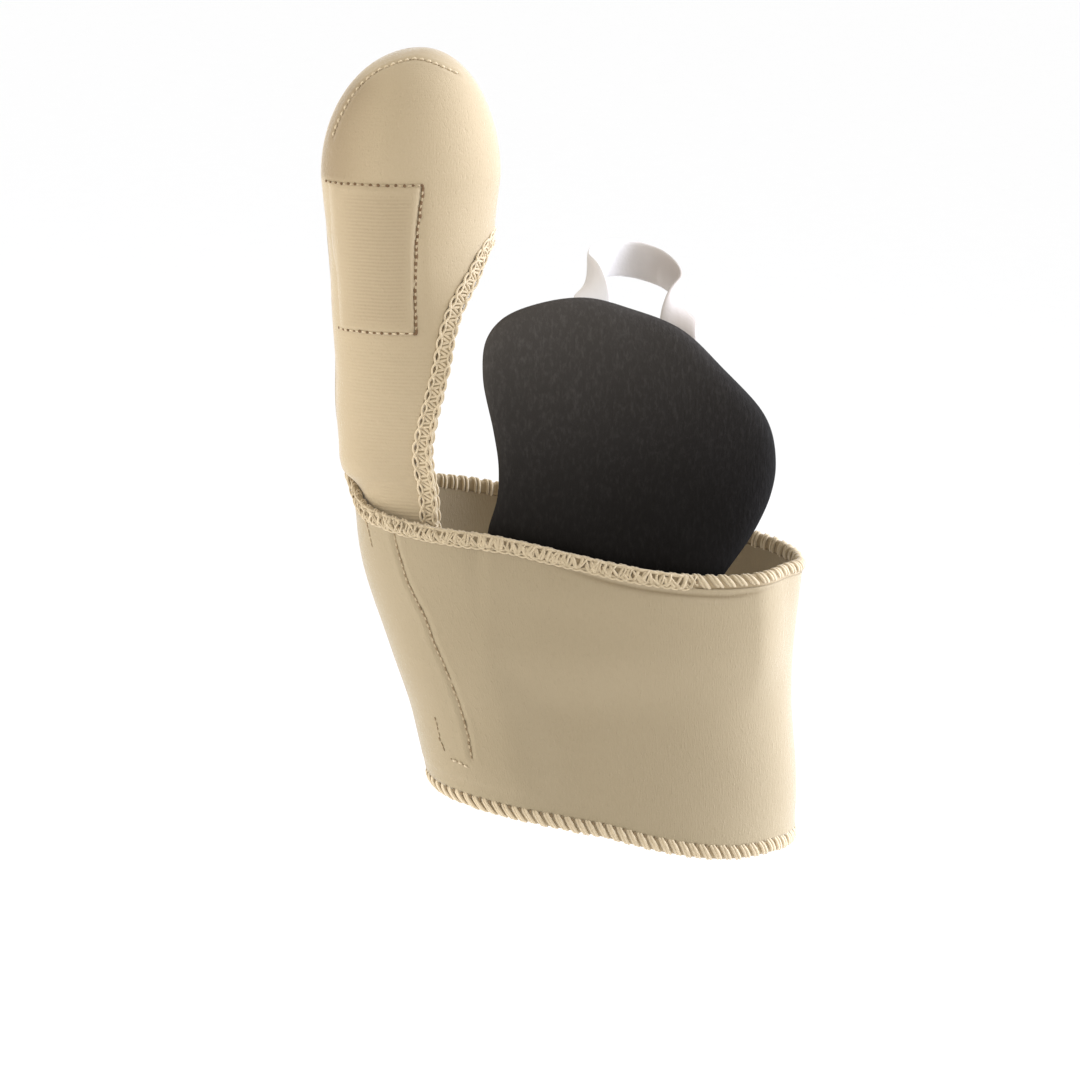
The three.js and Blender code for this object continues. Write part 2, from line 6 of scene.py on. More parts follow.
import bpy
import numpy as np
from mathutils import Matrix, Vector


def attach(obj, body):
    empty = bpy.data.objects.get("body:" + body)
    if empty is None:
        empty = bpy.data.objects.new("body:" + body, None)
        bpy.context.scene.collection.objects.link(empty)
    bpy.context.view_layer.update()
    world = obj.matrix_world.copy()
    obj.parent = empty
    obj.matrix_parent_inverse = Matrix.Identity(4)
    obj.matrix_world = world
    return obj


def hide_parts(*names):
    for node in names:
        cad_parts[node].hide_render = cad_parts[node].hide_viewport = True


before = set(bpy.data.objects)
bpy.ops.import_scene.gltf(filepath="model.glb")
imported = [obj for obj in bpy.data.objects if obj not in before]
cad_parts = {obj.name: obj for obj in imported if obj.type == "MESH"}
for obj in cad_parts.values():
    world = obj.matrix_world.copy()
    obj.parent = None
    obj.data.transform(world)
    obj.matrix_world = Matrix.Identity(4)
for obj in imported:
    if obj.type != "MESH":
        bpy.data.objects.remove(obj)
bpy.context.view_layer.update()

MM = 0.001
TURN = 2 * math.pi
QUARTER = math.pi / 2
rng = np.random.default_rng(7)

# Foot hollow, which the cloth and the pad lie on
FOOT_LENGTH = 130.0
FOOT_BREADTH = 93.0
SOLE_DEPTH = 18.0
INSTEP_DEPTH = 30.0
SOLE_SQUARENESS = 0.06
INSTEP_SQUARENESS = 0.03
INSTEP_WEDGE = 0.12

# Big toe hollow
TOE_BREADTH = 33.8
TOE_DEPTH = 28.0
TOE_TIP_RISE = 132.1
TOE_CAP_HEIGHT = 24.6
TOE_AXIS_OFFSET = 38.4
TOE_TIP_LEAN = 2.2
CAP_BASE = TOE_TIP_RISE - TOE_CAP_HEIGHT
HALF_GIRTH = math.pi * (TOE_BREADTH + TOE_DEPTH) / 4

# Toe sleeve
SLEEVE_WALL = 1.8
WEB_RISE = 96.5
TAIL_DEPTH = 111.0
OPENING_GIRTH = 51.0
MERGE_TOP = 92.0
MERGE_BOTTOM = 50.0
SLACK_FOLD = 1.95
SLACK_RISE = 47.9
SLACK_SPREAD = 3.5

# Midfoot band
BAND_WALL = 1.6
BAND_TOP_RISE = 46.5
BAND_TOP_TILT = 20.0
BAND_BOTTOM_DEPTH = 34.0
BAND_BOTTOM_TILT = 13.4

# Edgings
EDGING_WIDTH = 3.0
EDGING_RAISE = 0.35
CLEARANCE = 0.3

# Toe pocket
POCKET_HEIGHT = 31.5
POCKET_TOP_RISE = 107.2
POCKET_BREADTH = 21.0
POCKET_INSET = 5.5
POCKET_TAPER = 2.6
POCKET_RIB = 0.76

# Forefoot pad
PAD_WALL = 3.6
PAD_BREADTH = 60.0
PAD_HEIGHT = 72.0
PAD_ROUNDING = 1.5
PAD_X = 6.8
PAD_Z = 47.8

# Toe loop
LOOP_WALL = 1.1
LOOP_WIDTH = 8.0
LOOP_SPAN = 18.5
LOOP_DEPTH = 30.0
LOOP_RISE = 87.5

# Lift of the band over what lies under it
BLEND_ACROSS = 10.0
BLEND_DOWN = 18.0
TUCK_SHARE = 0.43
TUCK_SHIFT = 1.6
TAIL_COVER = 0.98
TAIL_LIFT = SLEEVE_WALL + EDGING_RAISE + CLEARANCE
TAIL_FADE = 1.4

EASE_START = 26.0
EASE_END = 3.0
EASE_SOFTNESS = 0.9
HUG = 0.45

# Foot sections: rise (share of FOOT_LENGTH), medial, lateral (FOOT_BREADTH), sole, instep
FOOT_SECTIONS = np.array([
    (-0.31, -0.317, 0.43, 1.19, 1.17),
    (-0.155, -0.334, 0.434, 1.11, 1.13),
    (-0.03, -0.371, 0.425, 1.03, 1.07),
    (0.07, -0.414, 0.426, 1.0, 1.0),
    (0.2, -0.475, 0.448, 0.97, 0.88),
    (0.33, -0.51, 0.466, 0.95, 0.79),
    (0.41, -0.556, 0.47, 0.94, 0.73),
    (0.52, -0.568, 0.468, 0.92, 0.67),
    (0.71, -0.57, 0.43, 0.78, 0.57),
])

# Toe sections: rise (share of the cap base's height), shift, breadth, sole, instep
TOE_SECTIONS = np.array([
    (0.43, 0.07, 0.83, 0.49, 0.53),
    (0.66, 0.025, 0.89, 0.485, 0.53),
    (0.82, 0.005, 0.9, 0.475, 0.53),
    (0.89, -0.005, 0.925, 0.48, 0.52),
    (1.0, 0.0, 1.0, 0.485, 0.515),
])

# Opening border: drop (share of TAIL_DEPTH), reach (share of half of OPENING_GIRTH)
OPENING = np.array([
    (0, 0), (0.022, 0.28), (0.075, 0.49), (0.125, 0.66), (0.18, 0.77), (0.25, 0.85),
    (0.34, 0.98), (0.45, 1.15), (0.56, 1.22), (0.72, 1.25), (0.88, 1.3), (1, 1.36),
])

# Band rims: turn in degrees from the sole's middle, top and bottom as shares of their tilts
BAND_RIMS = np.array([
    (-90, 0, 0), (-75, -0.29, -0.04), (-60, -0.4, -0.13), (-42, -0.5, -0.28),
    (-23, -0.59, -0.45), (-5, -0.755, -0.61), (16, -0.94, -0.86), (36, -1.02, -1),
    (60, -0.98, -0.97), (90, -0.98, -0.95), (130, -0.86, -0.88), (180, -0.62, -0.58),
    (230, -0.25, -0.14),
])

# Pad outline: across and along, shares of the pad's breadth and height from its middle
PAD_OUTLINE = np.array([
    (-0.498, 0.274), (-0.487, 0.378), (-0.43, 0.44), (-0.307, 0.483), (-0.147, 0.499),
    (0.0, 0.468), (0.172, 0.408), (0.313, 0.294), (0.447, 0.161), (0.497, 0.025),
    (0.483, -0.075), (0.42, -0.192), (0.327, -0.304), (0.23, -0.43), (0.07, -0.495),
    (-0.21, -0.497), (-0.39, -0.45), (-0.465, -0.33), (-0.485, -0.19), (-0.452, -0.08),
    (-0.447, 0.01), (-0.463, 0.12),
])

# Toe loop: across (LOOP_SPAN), along (LOOP_WIDTH), deep (LOOP_DEPTH), twist in quarter turns
LOOP_STATIONS = np.array([
    (-0.46, -1.35, 0.02, 0), (-0.47, -0.75, 0.06, 0), (-0.49, -0.2, 0.2, 0.55),
    (-0.5, 0, 0.42, 1), (-0.42, 0.1, 0.72, 1), (-0.2, 0.1, 0.94, 1), (0.05, 0, 1, 1),
    (0.3, -0.16, 0.92, 1), (0.47, -0.36, 0.68, 1), (0.52, -0.58, 0.4, 1),
    (0.5, -0.86, 0.18, 0.5), (0.48, -1.4, 0.05, 0), (0.47, -2, 0.01, 0),
])


# Small mathematics
def smooth(low, high, value):
    share = np.clip((value - low) / (high - low), 0, 1)
    return share * share * (3 - 2 * share)


def hump(x, width):
    return np.exp(-(x / width) ** 2)


def unit(v):
    return v / np.maximum(np.linalg.norm(v, axis=-1, keepdims=True), 1e-12)


def along(table, column, place):
    """The table's column on a smooth curve over its first column."""
    key, value = table[:, 0], table[:, column]
    order = np.arange(len(key))
    before, after = np.maximum(order - 1, 0), np.minimum(order + 1, len(key) - 1)
    slope = (value[after] - value[before]) / (key[after] - key[before])
    place = np.clip(place, key[0], key[-1])
    i = np.clip(np.searchsorted(key, place, side="right") - 1, 0, len(key) - 2)
    run = key[i + 1] - key[i]
    t = (place - key[i]) / run
    rise = value[i + 1] - value[i]
    left, right = slope[i] * run, slope[i + 1] * run
    return value[i] + t * (left + t * (3 * rise - 2 * left - right + t * (left + right - 2 * rise)))


def spline(points, count, closed=False):
    """Points at equal parameter steps on a centripetal curve through the given points."""
    points = np.asarray(points, float)
    if closed:
        ring = np.concatenate([points[-1:], points, points[:2]])
    else:
        ring = np.concatenate([2 * points[:1] - points[1:2], points, 2 * points[-1:] - points[-2:-1]])
    spans = len(ring) - 3
    place = np.linspace(0, spans, count, endpoint=not closed)
    i = np.minimum(place.astype(int), spans - 1)
    share = (place - i)[:, None]
    p = [ring[i + k] for k in range(4)]
    steps = [p[k + 1] - p[k] for k in range(3)]
    gap = [np.maximum(np.linalg.norm(step, axis=1, keepdims=True), 1e-9) ** 0.5 for step in steps]
    rate = [step / root for step, root in zip(steps, gap)]
    into = (rate[0] - (p[2] - p[0]) / (gap[0] + gap[1]) + rate[1]) * gap[1]
    out = (rate[1] - (p[3] - p[1]) / (gap[1] + gap[2]) + rate[2]) * gap[1]
    a = 2 * p[1] - 2 * p[2] + into + out
    b = -3 * p[1] + 3 * p[2] - 2 * into - out
    return ((a * share + b) * share + into) * share + p[1]


def distances(points):
    """Length of a polyline up to each of its points."""
    return np.concatenate([[0], np.cumsum(np.linalg.norm(np.diff(points, axis=0), axis=1))])


def spaced(points, count, closed=False):
    """Points at equal distances on a polyline."""
    if closed:
        points = np.concatenate([points, points[:1]])
    length = distances(points)
    at = np.linspace(0, length[-1], count, endpoint=not closed)
    return np.stack([np.interp(at, length, points[:, k]) for k in range(points.shape[1])], 1)


# The foot hollow
def foot_point(turn, z):
    turn, z = np.broadcast_arrays(np.asarray(turn, float), np.asarray(z, float))
    medial, lateral = (along(FOOT_SECTIONS, k, z / FOOT_LENGTH) * FOOT_BREADTH for k in (1, 2))
    sole = along(FOOT_SECTIONS, 3, z / FOOT_LENGTH) * SOLE_DEPTH
    instep = along(FOOT_SECTIONS, 4, z / FOOT_LENGTH) * INSTEP_DEPTH
    on_sole = np.cos(turn) > 0
    bulge = 1 + np.where(on_sole, SOLE_SQUARENESS, INSTEP_SQUARENESS) * np.sin(2 * turn) ** 2
    depth = np.where(on_sole, sole, instep * (1 - INSTEP_WEDGE * np.sin(turn)))
    x = (medial + lateral) / 2 + (lateral - medial) / 2 * np.sin(turn) * bulge
    return np.stack([x, -depth * np.cos(turn) * bulge, z], -1)


def foot_normal(turn, z):
    across = foot_point(turn + 0.01, z) - foot_point(turn - 0.01, z)
    up = foot_point(turn, z + 0.5) - foot_point(turn, z - 0.5)
    return unit(np.cross(across, up))


def foot_at(turn, z, offset):
    offset = np.asarray(offset, float)
    return foot_point(turn, z) + foot_normal(turn, z) * offset[..., None]


def sole_turn(x, z):
    low, high = np.full_like(x, -QUARTER), np.full_like(x, QUARTER)
    for _ in range(30):
        middle = (low + high) / 2
        less = foot_point(middle, z)[..., 0] < x
        low, high = np.where(less, middle, low), np.where(less, high, middle)
    return (low + high) / 2


# The toe hollow and the sleeve's inner face, as a fine grid in girth and fall
def toe_point(run, down):
    tilt = np.maximum(0, -down / TOE_CAP_HEIGHT)
    z = np.where(down > 0, CAP_BASE - down, CAP_BASE + TOE_CAP_HEIGHT * np.sin(tilt))
    rise = z / CAP_BASE
    shift, breadth = (along(TOE_SECTIONS, k, rise) * TOE_BREADTH for k in (1, 2))
    sole, instep = (along(TOE_SECTIONS, k, rise) * TOE_DEPTH for k in (3, 4))
    turn = math.pi * run / HALF_GIRTH
    roundness = np.cos(tilt)
    depth = np.where(np.sin(turn) > 0, -sole, -instep)
    middle = -TOE_AXIS_OFFSET + shift + TOE_TIP_LEAN * (1 - roundness)
    x = middle + breadth / 2 * np.cos(turn) * roundness
    return np.stack([x, depth * np.sin(turn) * roundness, z], -1)


LOWEST = -QUARTER * TOE_CAP_HEIGHT
FALLS = np.linspace(LOWEST, CAP_BASE - WEB_RISE + TAIL_DEPTH + 2, 320)
RUNS = np.linspace(-HALF_GIRTH, HALF_GIRTH, 241)


def sleeve_grid():
    run, down = np.meshgrid(RUNS, FALLS)
    toe = toe_point(run, down)
    z = toe[:, 0, 2]
    share = smooth(MERGE_TOP, MERGE_BOTTOM, z)
    spin = np.linspace(0, 2.6, 400)
    foot = toe.copy()
    for row in np.flatnonzero(share > 0):
        for way in (-1, 1):
            arc = foot_point(-QUARTER + way * spin, z[row])
            girth = distances(arc)
            side = RUNS > 0 if way > 0 else RUNS <= 0
            turn = np.interp(HALF_GIRTH - np.abs(RUNS[side]), girth, spin)
            foot[row, side] = foot_point(-QUARTER + way * turn, z[row])
    points = toe + (foot - toe) * share[:, None, None]
    wide = np.concatenate([points[:, -2:-1], points, points[:, 1:2]], 1)
    across = wide[:, 2:] - wide[:, :-2]
    fall = np.gradient(points, axis=0)
    normals = unit(np.cross(across, fall))
    normals[0] = (0, 0, 1)
    return points, normals


SLEEVE_POINTS, SLEEVE_NORMALS = sleeve_grid()


def sleeve_at(run, down, offset):
    """Points at an offset from the sleeve's inner face; run is the girth from the lateral line."""
    run, down, offset = np.broadcast_arrays(*(np.asarray(v, float) for v in (run, down, offset)))
    run = (run + HALF_GIRTH) % (2 * HALF_GIRTH) - HALF_GIRTH
    j = (run - RUNS[0]) / (RUNS[1] - RUNS[0])
    i = np.clip((down - FALLS[0]) / (FALLS[1] - FALLS[0]), 0, len(FALLS) - 1.001)
    i0, j0 = i.astype(int), np.clip(j.astype(int), 0, len(RUNS) - 2)
    di, dj = (i - i0)[..., None], (j - j0)[..., None]

    def sample(grid):
        top = grid[i0, j0] * (1 - dj) + grid[i0, j0 + 1] * dj
        low = grid[i0 + 1, j0] * (1 - dj) + grid[i0 + 1, j0 + 1] * dj
        return top * (1 - di) + low * di

    return sample(SLEEVE_POINTS) + unit(sample(SLEEVE_NORMALS)) * offset[..., None]


# The band's lift and rims
def pad_edge(count):
    points = spline(PAD_OUTLINE * (PAD_BREADTH, PAD_HEIGHT), 600, closed=True)
    return spaced(points, count, closed=True) + (PAD_X, PAD_Z)


def pad_stand(z):
    return (LOOP_WALL + 2 * CLEARANCE) * smooth(PAD_Z, PAD_Z + PAD_HEIGHT / 6, z)


def tail_lift(turn, z):
    tail_end = WEB_RISE - TAIL_DEPTH
    from_medial = math.pi - np.abs((turn + QUARTER) % TURN - math.pi)
    tail = TAIL_LIFT * smooth(TAIL_FADE, TAIL_COVER, from_medial)
    return tail * smooth(tail_end - BLEND_DOWN, tail_end, z)


def pad_lift(turn, z):
    pad_low = PAD_Z - PAD_HEIGHT / 2
    tuck = TUCK_SHARE * PAD_BREADTH
    from_pad = np.abs(foot_point(turn, z)[..., 0] - PAD_X + TUCK_SHIFT)
    pad = (PAD_WALL + CLEARANCE) * smooth(tuck + BLEND_ACROSS, tuck, from_pad)
    return pad * smooth(pad_low - BLEND_DOWN, pad_low, z) * (np.cos(turn) > 0)


def band_lift(turn, z):
    tail, pad = tail_lift(turn, z), pad_lift(turn, z)
    apart = np.maximum(0, 1 - np.abs(tail - pad))
    return np.maximum(tail, pad) + np.where(np.cos(turn) > 0, apart * apart / 4, 0)


def rim(turn, column):
    degrees = -90 + (np.degrees(turn) + 90) % 360
    ends = BAND_RIMS[[0, 1]] + (360, 0, 0), BAND_RIMS[[-2, -1]] - (360, 0, 0)
    share = along(np.concatenate([ends[1], BAND_RIMS, ends[0]]), column, degrees)
    if column == 1:
        return BAND_TOP_RISE + share * BAND_TOP_TILT
    return -BAND_BOTTOM_DEPTH + BAND_BOTTOM_TILT * (1 + share)


def band_ease(turn, z):
    """Slow rise of the stretched cloth from the sleeve's tail to the pad."""
    tuck = TUCK_SHARE * PAD_BREADTH
    pad_low = PAD_Z - PAD_HEIGHT / 2
    x = foot_point(turn, z)[..., 0]
    share = smooth(tuck + EASE_START, tuck + EASE_END, PAD_X - TUCK_SHIFT - x)
    share = share * smooth(pad_low - BLEND_DOWN, pad_low, z)
    tail, pad = tail_lift(turn, z), pad_lift(turn, z)
    tail = tail * (1 + (PAD_WALL + CLEARANCE - TAIL_LIFT) / TAIL_LIFT * share)
    soft = EASE_SOFTNESS * smooth(0, 3, tail + pad)
    eased = (tail + pad + np.sqrt((tail - pad) ** 2 + soft ** 2)) / 2
    where = (np.cos(turn) > 0) * (x < PAD_X + PAD_BREADTH / 2)
    return np.maximum(0, eased - band_lift(turn, z)) * where


def band_at(turn, z, wall):
    """Points of the band at a height over its inner face, which hugs the sleeve at the top."""
    near = hump(np.sin((turn + QUARTER) / 2), 0.3)
    hug = HUG * near * smooth(30, 42, z)
    return foot_at(turn, z, CLEARANCE + band_lift(turn, z) + band_ease(turn, z) - hug + wall)


# Meshes
def placed(name, data):
    """A new object in the scene."""
    thing = bpy.data.objects.new(name, data)
    bpy.context.scene.collection.objects.link(thing)
    return thing


def mesh_object(name, points, faces, material, slot, uv=None, **marks):
    """A piece from points in millimetres; uv is per face corner, marks are values per point."""
    mesh = bpy.data.meshes.new(name)
    mesh.from_pydata((np.asarray(points) * MM).tolist(), [], [list(map(int, f)) for f in faces])
    mesh.update()
    if uv is not None:
        layer = mesh.uv_layers.new(name="cloth")
        layer.uv.foreach_set("vector", np.asarray(uv, np.float32).ravel())
    for key, values in marks.items():
        attribute = mesh.attributes.new(key, "FLOAT", "POINT")
        attribute.data.foreach_set("value", np.asarray(values, np.float32))
    mesh.polygons.foreach_set("use_smooth", [True] * len(mesh.polygons))
    mesh.materials.append(material)
    thing = placed(name, mesh)
    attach(thing, "root")
    return thing


def loop_quads(rows, columns):
    """Quads of a grid that closes on itself both ways, as (row, column) corners."""
    i, j = np.meshgrid(np.arange(rows), np.arange(columns), indexing="ij")
    i, j = i.ravel(), j.ravel()
    return np.stack([i, j, i, j + 1, i + 1, j + 1, i + 1, j], 1).reshape(-1, 4, 2)


def shell(grid, first, size):
    """Quads of a cloth: outer face, inner face (size indices on) and border. The sides of the grid
    join above the row called first, and if that is row 0 the top has a border too."""
    outer = np.stack([grid[:-1, 1:], grid[:-1, :-1], grid[1:, :-1], grid[1:, 1:]], -1).reshape(-1, 4)
    path = [grid[first:, 0], grid[-1, 1:], grid[first:-1, -1][::-1]]
    if first == 0:
        path.append(grid[0, -2::-1])
    path = np.concatenate(path)
    a, b = path[:-1], path[1:]
    border = np.stack([a, a + size, b + size, b], 1)
    return np.concatenate([outer, outer[:, [0, 3, 2, 1]] + size, border])


def ring_faces(count, sides, closed=False):
    """Faces of a body of rings with equal sides, capped at both ends unless it closes on itself."""
    faces = []
    for i in range(count if closed else count - 1):
        a, b = i * sides, ((i + 1) % count) * sides
        faces += [(a + k, a + (k + 1) % sides, b + (k + 1) % sides, b + k) for k in range(sides)]
    if not closed:
        faces.append(tuple(range(sides))[::-1])
        faces.append(tuple((count - 1) * sides + k for k in range(sides)))
    return faces


def tube(points, side, radius, closed=False, sides=6):
    """Points and faces of a thread along a line; side is a direction that it never runs along."""
    points, side = np.asarray(points), np.broadcast_to(side, np.shape(points))
    if closed:
        ahead = np.roll(points, -1, 0) - np.roll(points, 1, 0)
    else:
        ahead = np.gradient(points, axis=0)
    ahead = unit(ahead)
    u = unit(side - ahead * (side * ahead).sum(1, keepdims=True))
    v = np.cross(ahead, u)
    angle = TURN * np.arange(sides) / sides
    radius = np.broadcast_to(radius, len(points))[:, None, None]
    ring = points[:, None] + radius * (
        u[:, None] * np.cos(angle)[None, :, None] + v[:, None] * np.sin(angle)[None, :, None])
    return ring.reshape(-1, 3), ring_faces(len(points), sides, closed)


def joined(parts):
    """Several (points, faces) as one."""
    points, faces, start = [], [], 0
    for p, f in parts:
        points.append(p)
        faces += [tuple(k + start for k in face) for face in f]
        start += len(p)
    return np.concatenate(points), faces


# Materials
class Nodes:
    """A material's node tree, with short calls for the nodes that repeat."""

    def __init__(self, name, colour, roughness):
        self.material = bpy.data.materials.new(name)
        self.material.use_nodes = True
        self.tree = self.material.node_tree
        self.shader = self.tree.nodes["Principled BSDF"]
        self.shader.inputs["Base Color"].default_value = (*colour, 1)
        self.shader.inputs["Roughness"].default_value = roughness
        self.shader.inputs["Specular IOR Level"].default_value = 0.25

    def add(self, kind, **inputs):
        node = self.tree.nodes.new(kind)
        for key, value in inputs.items():
            self.feed(node, key.replace("_", " "), value)
        return node

    def feed(self, node, key, value):
        socket = node.inputs[key]
        if isinstance(value, bpy.types.NodeSocket):
            self.tree.links.new(value, socket)
        else:
            socket.default_value = value

    def place(self, scale=(1, 1, 1)):
        """The cloth's own flat coordinates in millimetres, scaled."""
        uv = self.add("ShaderNodeUVMap")
        uv.uv_map = "cloth"
        node = self.add("ShaderNodeMapping", Vector=uv.outputs["UV"], Scale=scale)
        return node.outputs["Vector"]

    def solid(self, scale=(1, 1, 1)):
        """The object's coordinates in metres, scaled."""
        node = self.add("ShaderNodeTexCoord")
        mapping = self.add("ShaderNodeMapping", Vector=node.outputs["Object"], Scale=scale)
        return mapping.outputs["Vector"]

    def noise(self, vector, scale, detail=3.0, roughness=0.55):
        node = self.add("ShaderNodeTexNoise", Vector=vector, Scale=scale, Detail=detail,
                        Roughness=roughness)
        return node.outputs["Fac"]

    def wave(self, vector, scale, across, distortion=0.0, detail_scale=1.0):
        node = self.add("ShaderNodeTexWave", Vector=vector, Scale=scale, Distortion=distortion)
        node.inputs["Detail Scale"].default_value = detail_scale
        node.bands_direction = across
        return node.outputs["Fac"]

    def maths(self, operation, a, b=0.0, c=None):
        node = self.tree.nodes.new("ShaderNodeMath")
        node.operation = operation
        for k, value in enumerate((a, b) if c is None else (a, b, c)):
            self.feed(node, k, value)
        return node.outputs[0]

    def blend(self, share, a, b):
        node = self.tree.nodes.new("ShaderNodeMix")
        node.data_type = "RGBA"
        self.feed(node, 0, share)
        for k, value in ((6, a), (7, b)):
            self.feed(node, k, (*value, 1) if isinstance(value, tuple) else value)
        return node.outputs[2]

    def stretch(self, value, low, high):
        """The value's share of the way from low to high, from 0 to 1."""
        node = self.add("ShaderNodeMapRange", Value=value, From_Min=low, From_Max=high)
        return node.outputs[0]

    def attribute(self, name):
        node = self.tree.nodes.new("ShaderNodeAttribute")
        node.attribute_name = name
        return node.outputs["Fac"]

    def colour(self, socket):
        self.tree.links.new(socket, self.shader.inputs["Base Color"])

    def bump(self, height, distance, strength=1.0):
        node = self.add("ShaderNodeBump", Height=height, Distance=distance, Strength=strength)
        self.tree.links.new(node.outputs["Normal"], self.shader.inputs["Normal"])

    def sheen(self, weight, roughness, tint):
        self.shader.inputs["Sheen Weight"].default_value = weight
        self.shader.inputs["Sheen Roughness"].default_value = roughness
        self.shader.inputs["Sheen Tint"].default_value = (*tint, 1)


SLEEVE_TONES = (0.322, 0.247, 0.146), (0.396, 0.314, 0.201)
# The band's tones are darker than the sleeve's: painted shade for the band's front, which faces
# slightly down
BAND_TONES = (0.265, 0.208, 0.125), (0.325, 0.259, 0.162)
# Colour that the knit's painted shade darkens towards; also the dark of the threads' fuzz
DEEP = (0.12, 0.075, 0.032)
THREAD = (0.53, 0.425, 0.275)
TOP_THREAD = (0.455, 0.362, 0.23)
STITCH = (0.37, 0.285, 0.17)
WHITE = (1.0, 0.98, 0.95)
WALES_HEIGHT = 0.035
RIBS_HEIGHT = 0.35
GRAIN_HEIGHT = 0.85
LINT_LEVEL = 0.58
LINT_HEIGHT = 2.6


def knit(name, tones, streaks, courses_height):
    """Beige stretch knit with fine streaks along its wales, faint courses across, some lint, and
    painted shade from its shade attribute.
    """
    dark, pale = tones
    n = Nodes(name, dark, 0.85)
    broad = n.noise(n.solid(), 38.0, 3.0)
    base = n.blend(n.maths("MULTIPLY", broad, 0.5), dark, pale)
    grain = n.noise(n.place((2.8, streaks, 1)), 1.0, 4.0, 0.7)
    fine = n.blend(n.maths("MULTIPLY", n.maths("SUBTRACT", grain, 0.3), 0.9), base, pale)
    # The shade attribute mixes towards DEEP: painted shade in creases, seams and inner faces, and the
    # pocket's darker tone
    n.colour(n.blend(n.attribute("shade"), fine, DEEP))
    fluff = n.noise(n.place((1.5, 0.75, 1)), 1.0, 2.0, 0.5)
    lint = n.maths("MAXIMUM", n.maths("SUBTRACT", fluff, LINT_LEVEL), 0.0)
    wales = n.wave(n.place(), 0.7, "X", 0.6, 0.7)
    courses = n.wave(n.place(), 0.42, "Y", 0.35, 0.5)
    ribbed = n.maths("MULTIPLY_ADD", n.attribute("ribs"), RIBS_HEIGHT, courses_height)
    height = n.maths("MULTIPLY_ADD", wales, WALES_HEIGHT, n.maths("MULTIPLY", courses, ribbed))
    height = n.maths("MULTIPLY_ADD", grain, GRAIN_HEIGHT, height)
    height = n.maths("MULTIPLY_ADD", lint, LINT_HEIGHT, height)
    n.bump(height, 0.0002, 0.6)
    n.sheen(0.5, 0.3, WHITE)
    return n.material


def thread_material(name, colour):
    """Fuzzy spun thread."""
    n = Nodes(name, colour, 0.7)
    fuzz = n.noise(n.solid(), 900.0, 3.0, 0.6)
    broad = n.noise(n.solid(), 90.0, 2.0)
    tone = n.blend(broad, colour, tuple(min(1.0, c * 1.12) for c in colour))
    n.colour(n.blend(n.maths("MULTIPLY", fuzz, 0.3), tone, DEEP))
    n.bump(fuzz, 0.0002, 0.6)
    n.sheen(0.25, 0.4, WHITE)
    return n.material


def pad_material():
    """Black napped cloth, with painted light that makes it paler towards the toes."""
    n = Nodes("pad_cloth", (0.012, 0.011, 0.01), 0.8)
    n.shader.inputs["Specular IOR Level"].default_value = 0.06
    grain = n.noise(n.solid((1, 1, 0.16)), 1500.0, 4.0, 0.75)
    mottle = n.noise(n.solid((1, 1, 0.45)), 1250.0, 4.0, 0.7)
    place = n.add("ShaderNodeSeparateXYZ", Vector=n.solid())
    lean = n.maths("MULTIPLY_ADD", place.outputs["X"], -0.35, place.outputs["Z"])
    # Painted light: paler towards the toes and slightly towards the medial side
    painted_light = n.maths("POWER", n.stretch(lean, 0.02, 0.092), 2.1)
    base = n.blend(painted_light, (0.0038, 0.003, 0.0023), (0.056, 0.049, 0.0425))
    # Mottled grain of the nap, its lightening made stronger by the painted light
    lift = n.maths("MULTIPLY", n.maths("SUBTRACT", mottle, 0.48), n.maths("ADD", painted_light, 0.1))
    n.colour(n.blend(n.maths("MAXIMUM", lift, 0.0), base, (0.13, 0.117, 0.105)))
    n.bump(n.maths("ADD", grain, n.maths("MULTIPLY", mottle, 1.2)), 0.00022, 0.8)
    return n.material


def loop_material():
    """White soft strap, with painted shade that makes it greyer towards the little toe's side."""
    n = Nodes("loop_strap", (0.66, 0.63, 0.6), 0.45)
    cloud = n.noise(n.solid(), 120.0, 2.0)
    pale = n.blend(cloud, (0.66, 0.635, 0.61), (0.58, 0.535, 0.5))
    place = n.add("ShaderNodeSeparateXYZ", Vector=n.solid())
    # Painted shade, darker towards the little toe's side
    painted_shade = n.stretch(place.outputs["X"], 0.004, 0.017)
    n.colour(n.blend(painted_shade, pale, (0.35, 0.305, 0.265)))
    weave = n.noise(n.solid(), 1400.0, 2.0)
    n.bump(weave, 0.00012, 0.35)
    return n.material


def hole_material(name, dark, pale):
    """Deep shade in a needle hole or between threads."""
    n = Nodes(name, dark, 0.9)
    n.colour(n.blend(n.noise(n.solid(), 700.0, 2.0), dark, pale))
    return n.material


KNIT_SLEEVE = knit("knit_sleeve", SLEEVE_TONES, 1.3, 0.06)
KNIT_BAND = knit("knit_band", BAND_TONES, 0.55, 0.03)
THREAD_MATERIAL = thread_material("overlock_thread", THREAD)
TOP_THREAD_MATERIAL = thread_material("overlock_thread_top", TOP_THREAD)
STITCH_MATERIAL = thread_material("stitch_thread", STITCH)
CORE_PALE = thread_material("edging_core_pale", (0.4, 0.315, 0.19))
# Core cloth darkened to paint the shade between the wraps
CORE_SHADED = thread_material("edging_core_shaded", (0.31, 0.236, 0.136))
# Dark colours for the beads of painted shade in needle holes and between threads
HOLE_DEEP = hole_material("needle_hole", (0.085, 0.045, 0.02), (0.18, 0.11, 0.055))
HOLE_SOFT = hole_material("needle_hole_soft", (0.14, 0.093, 0.047), (0.23, 0.165, 0.09))


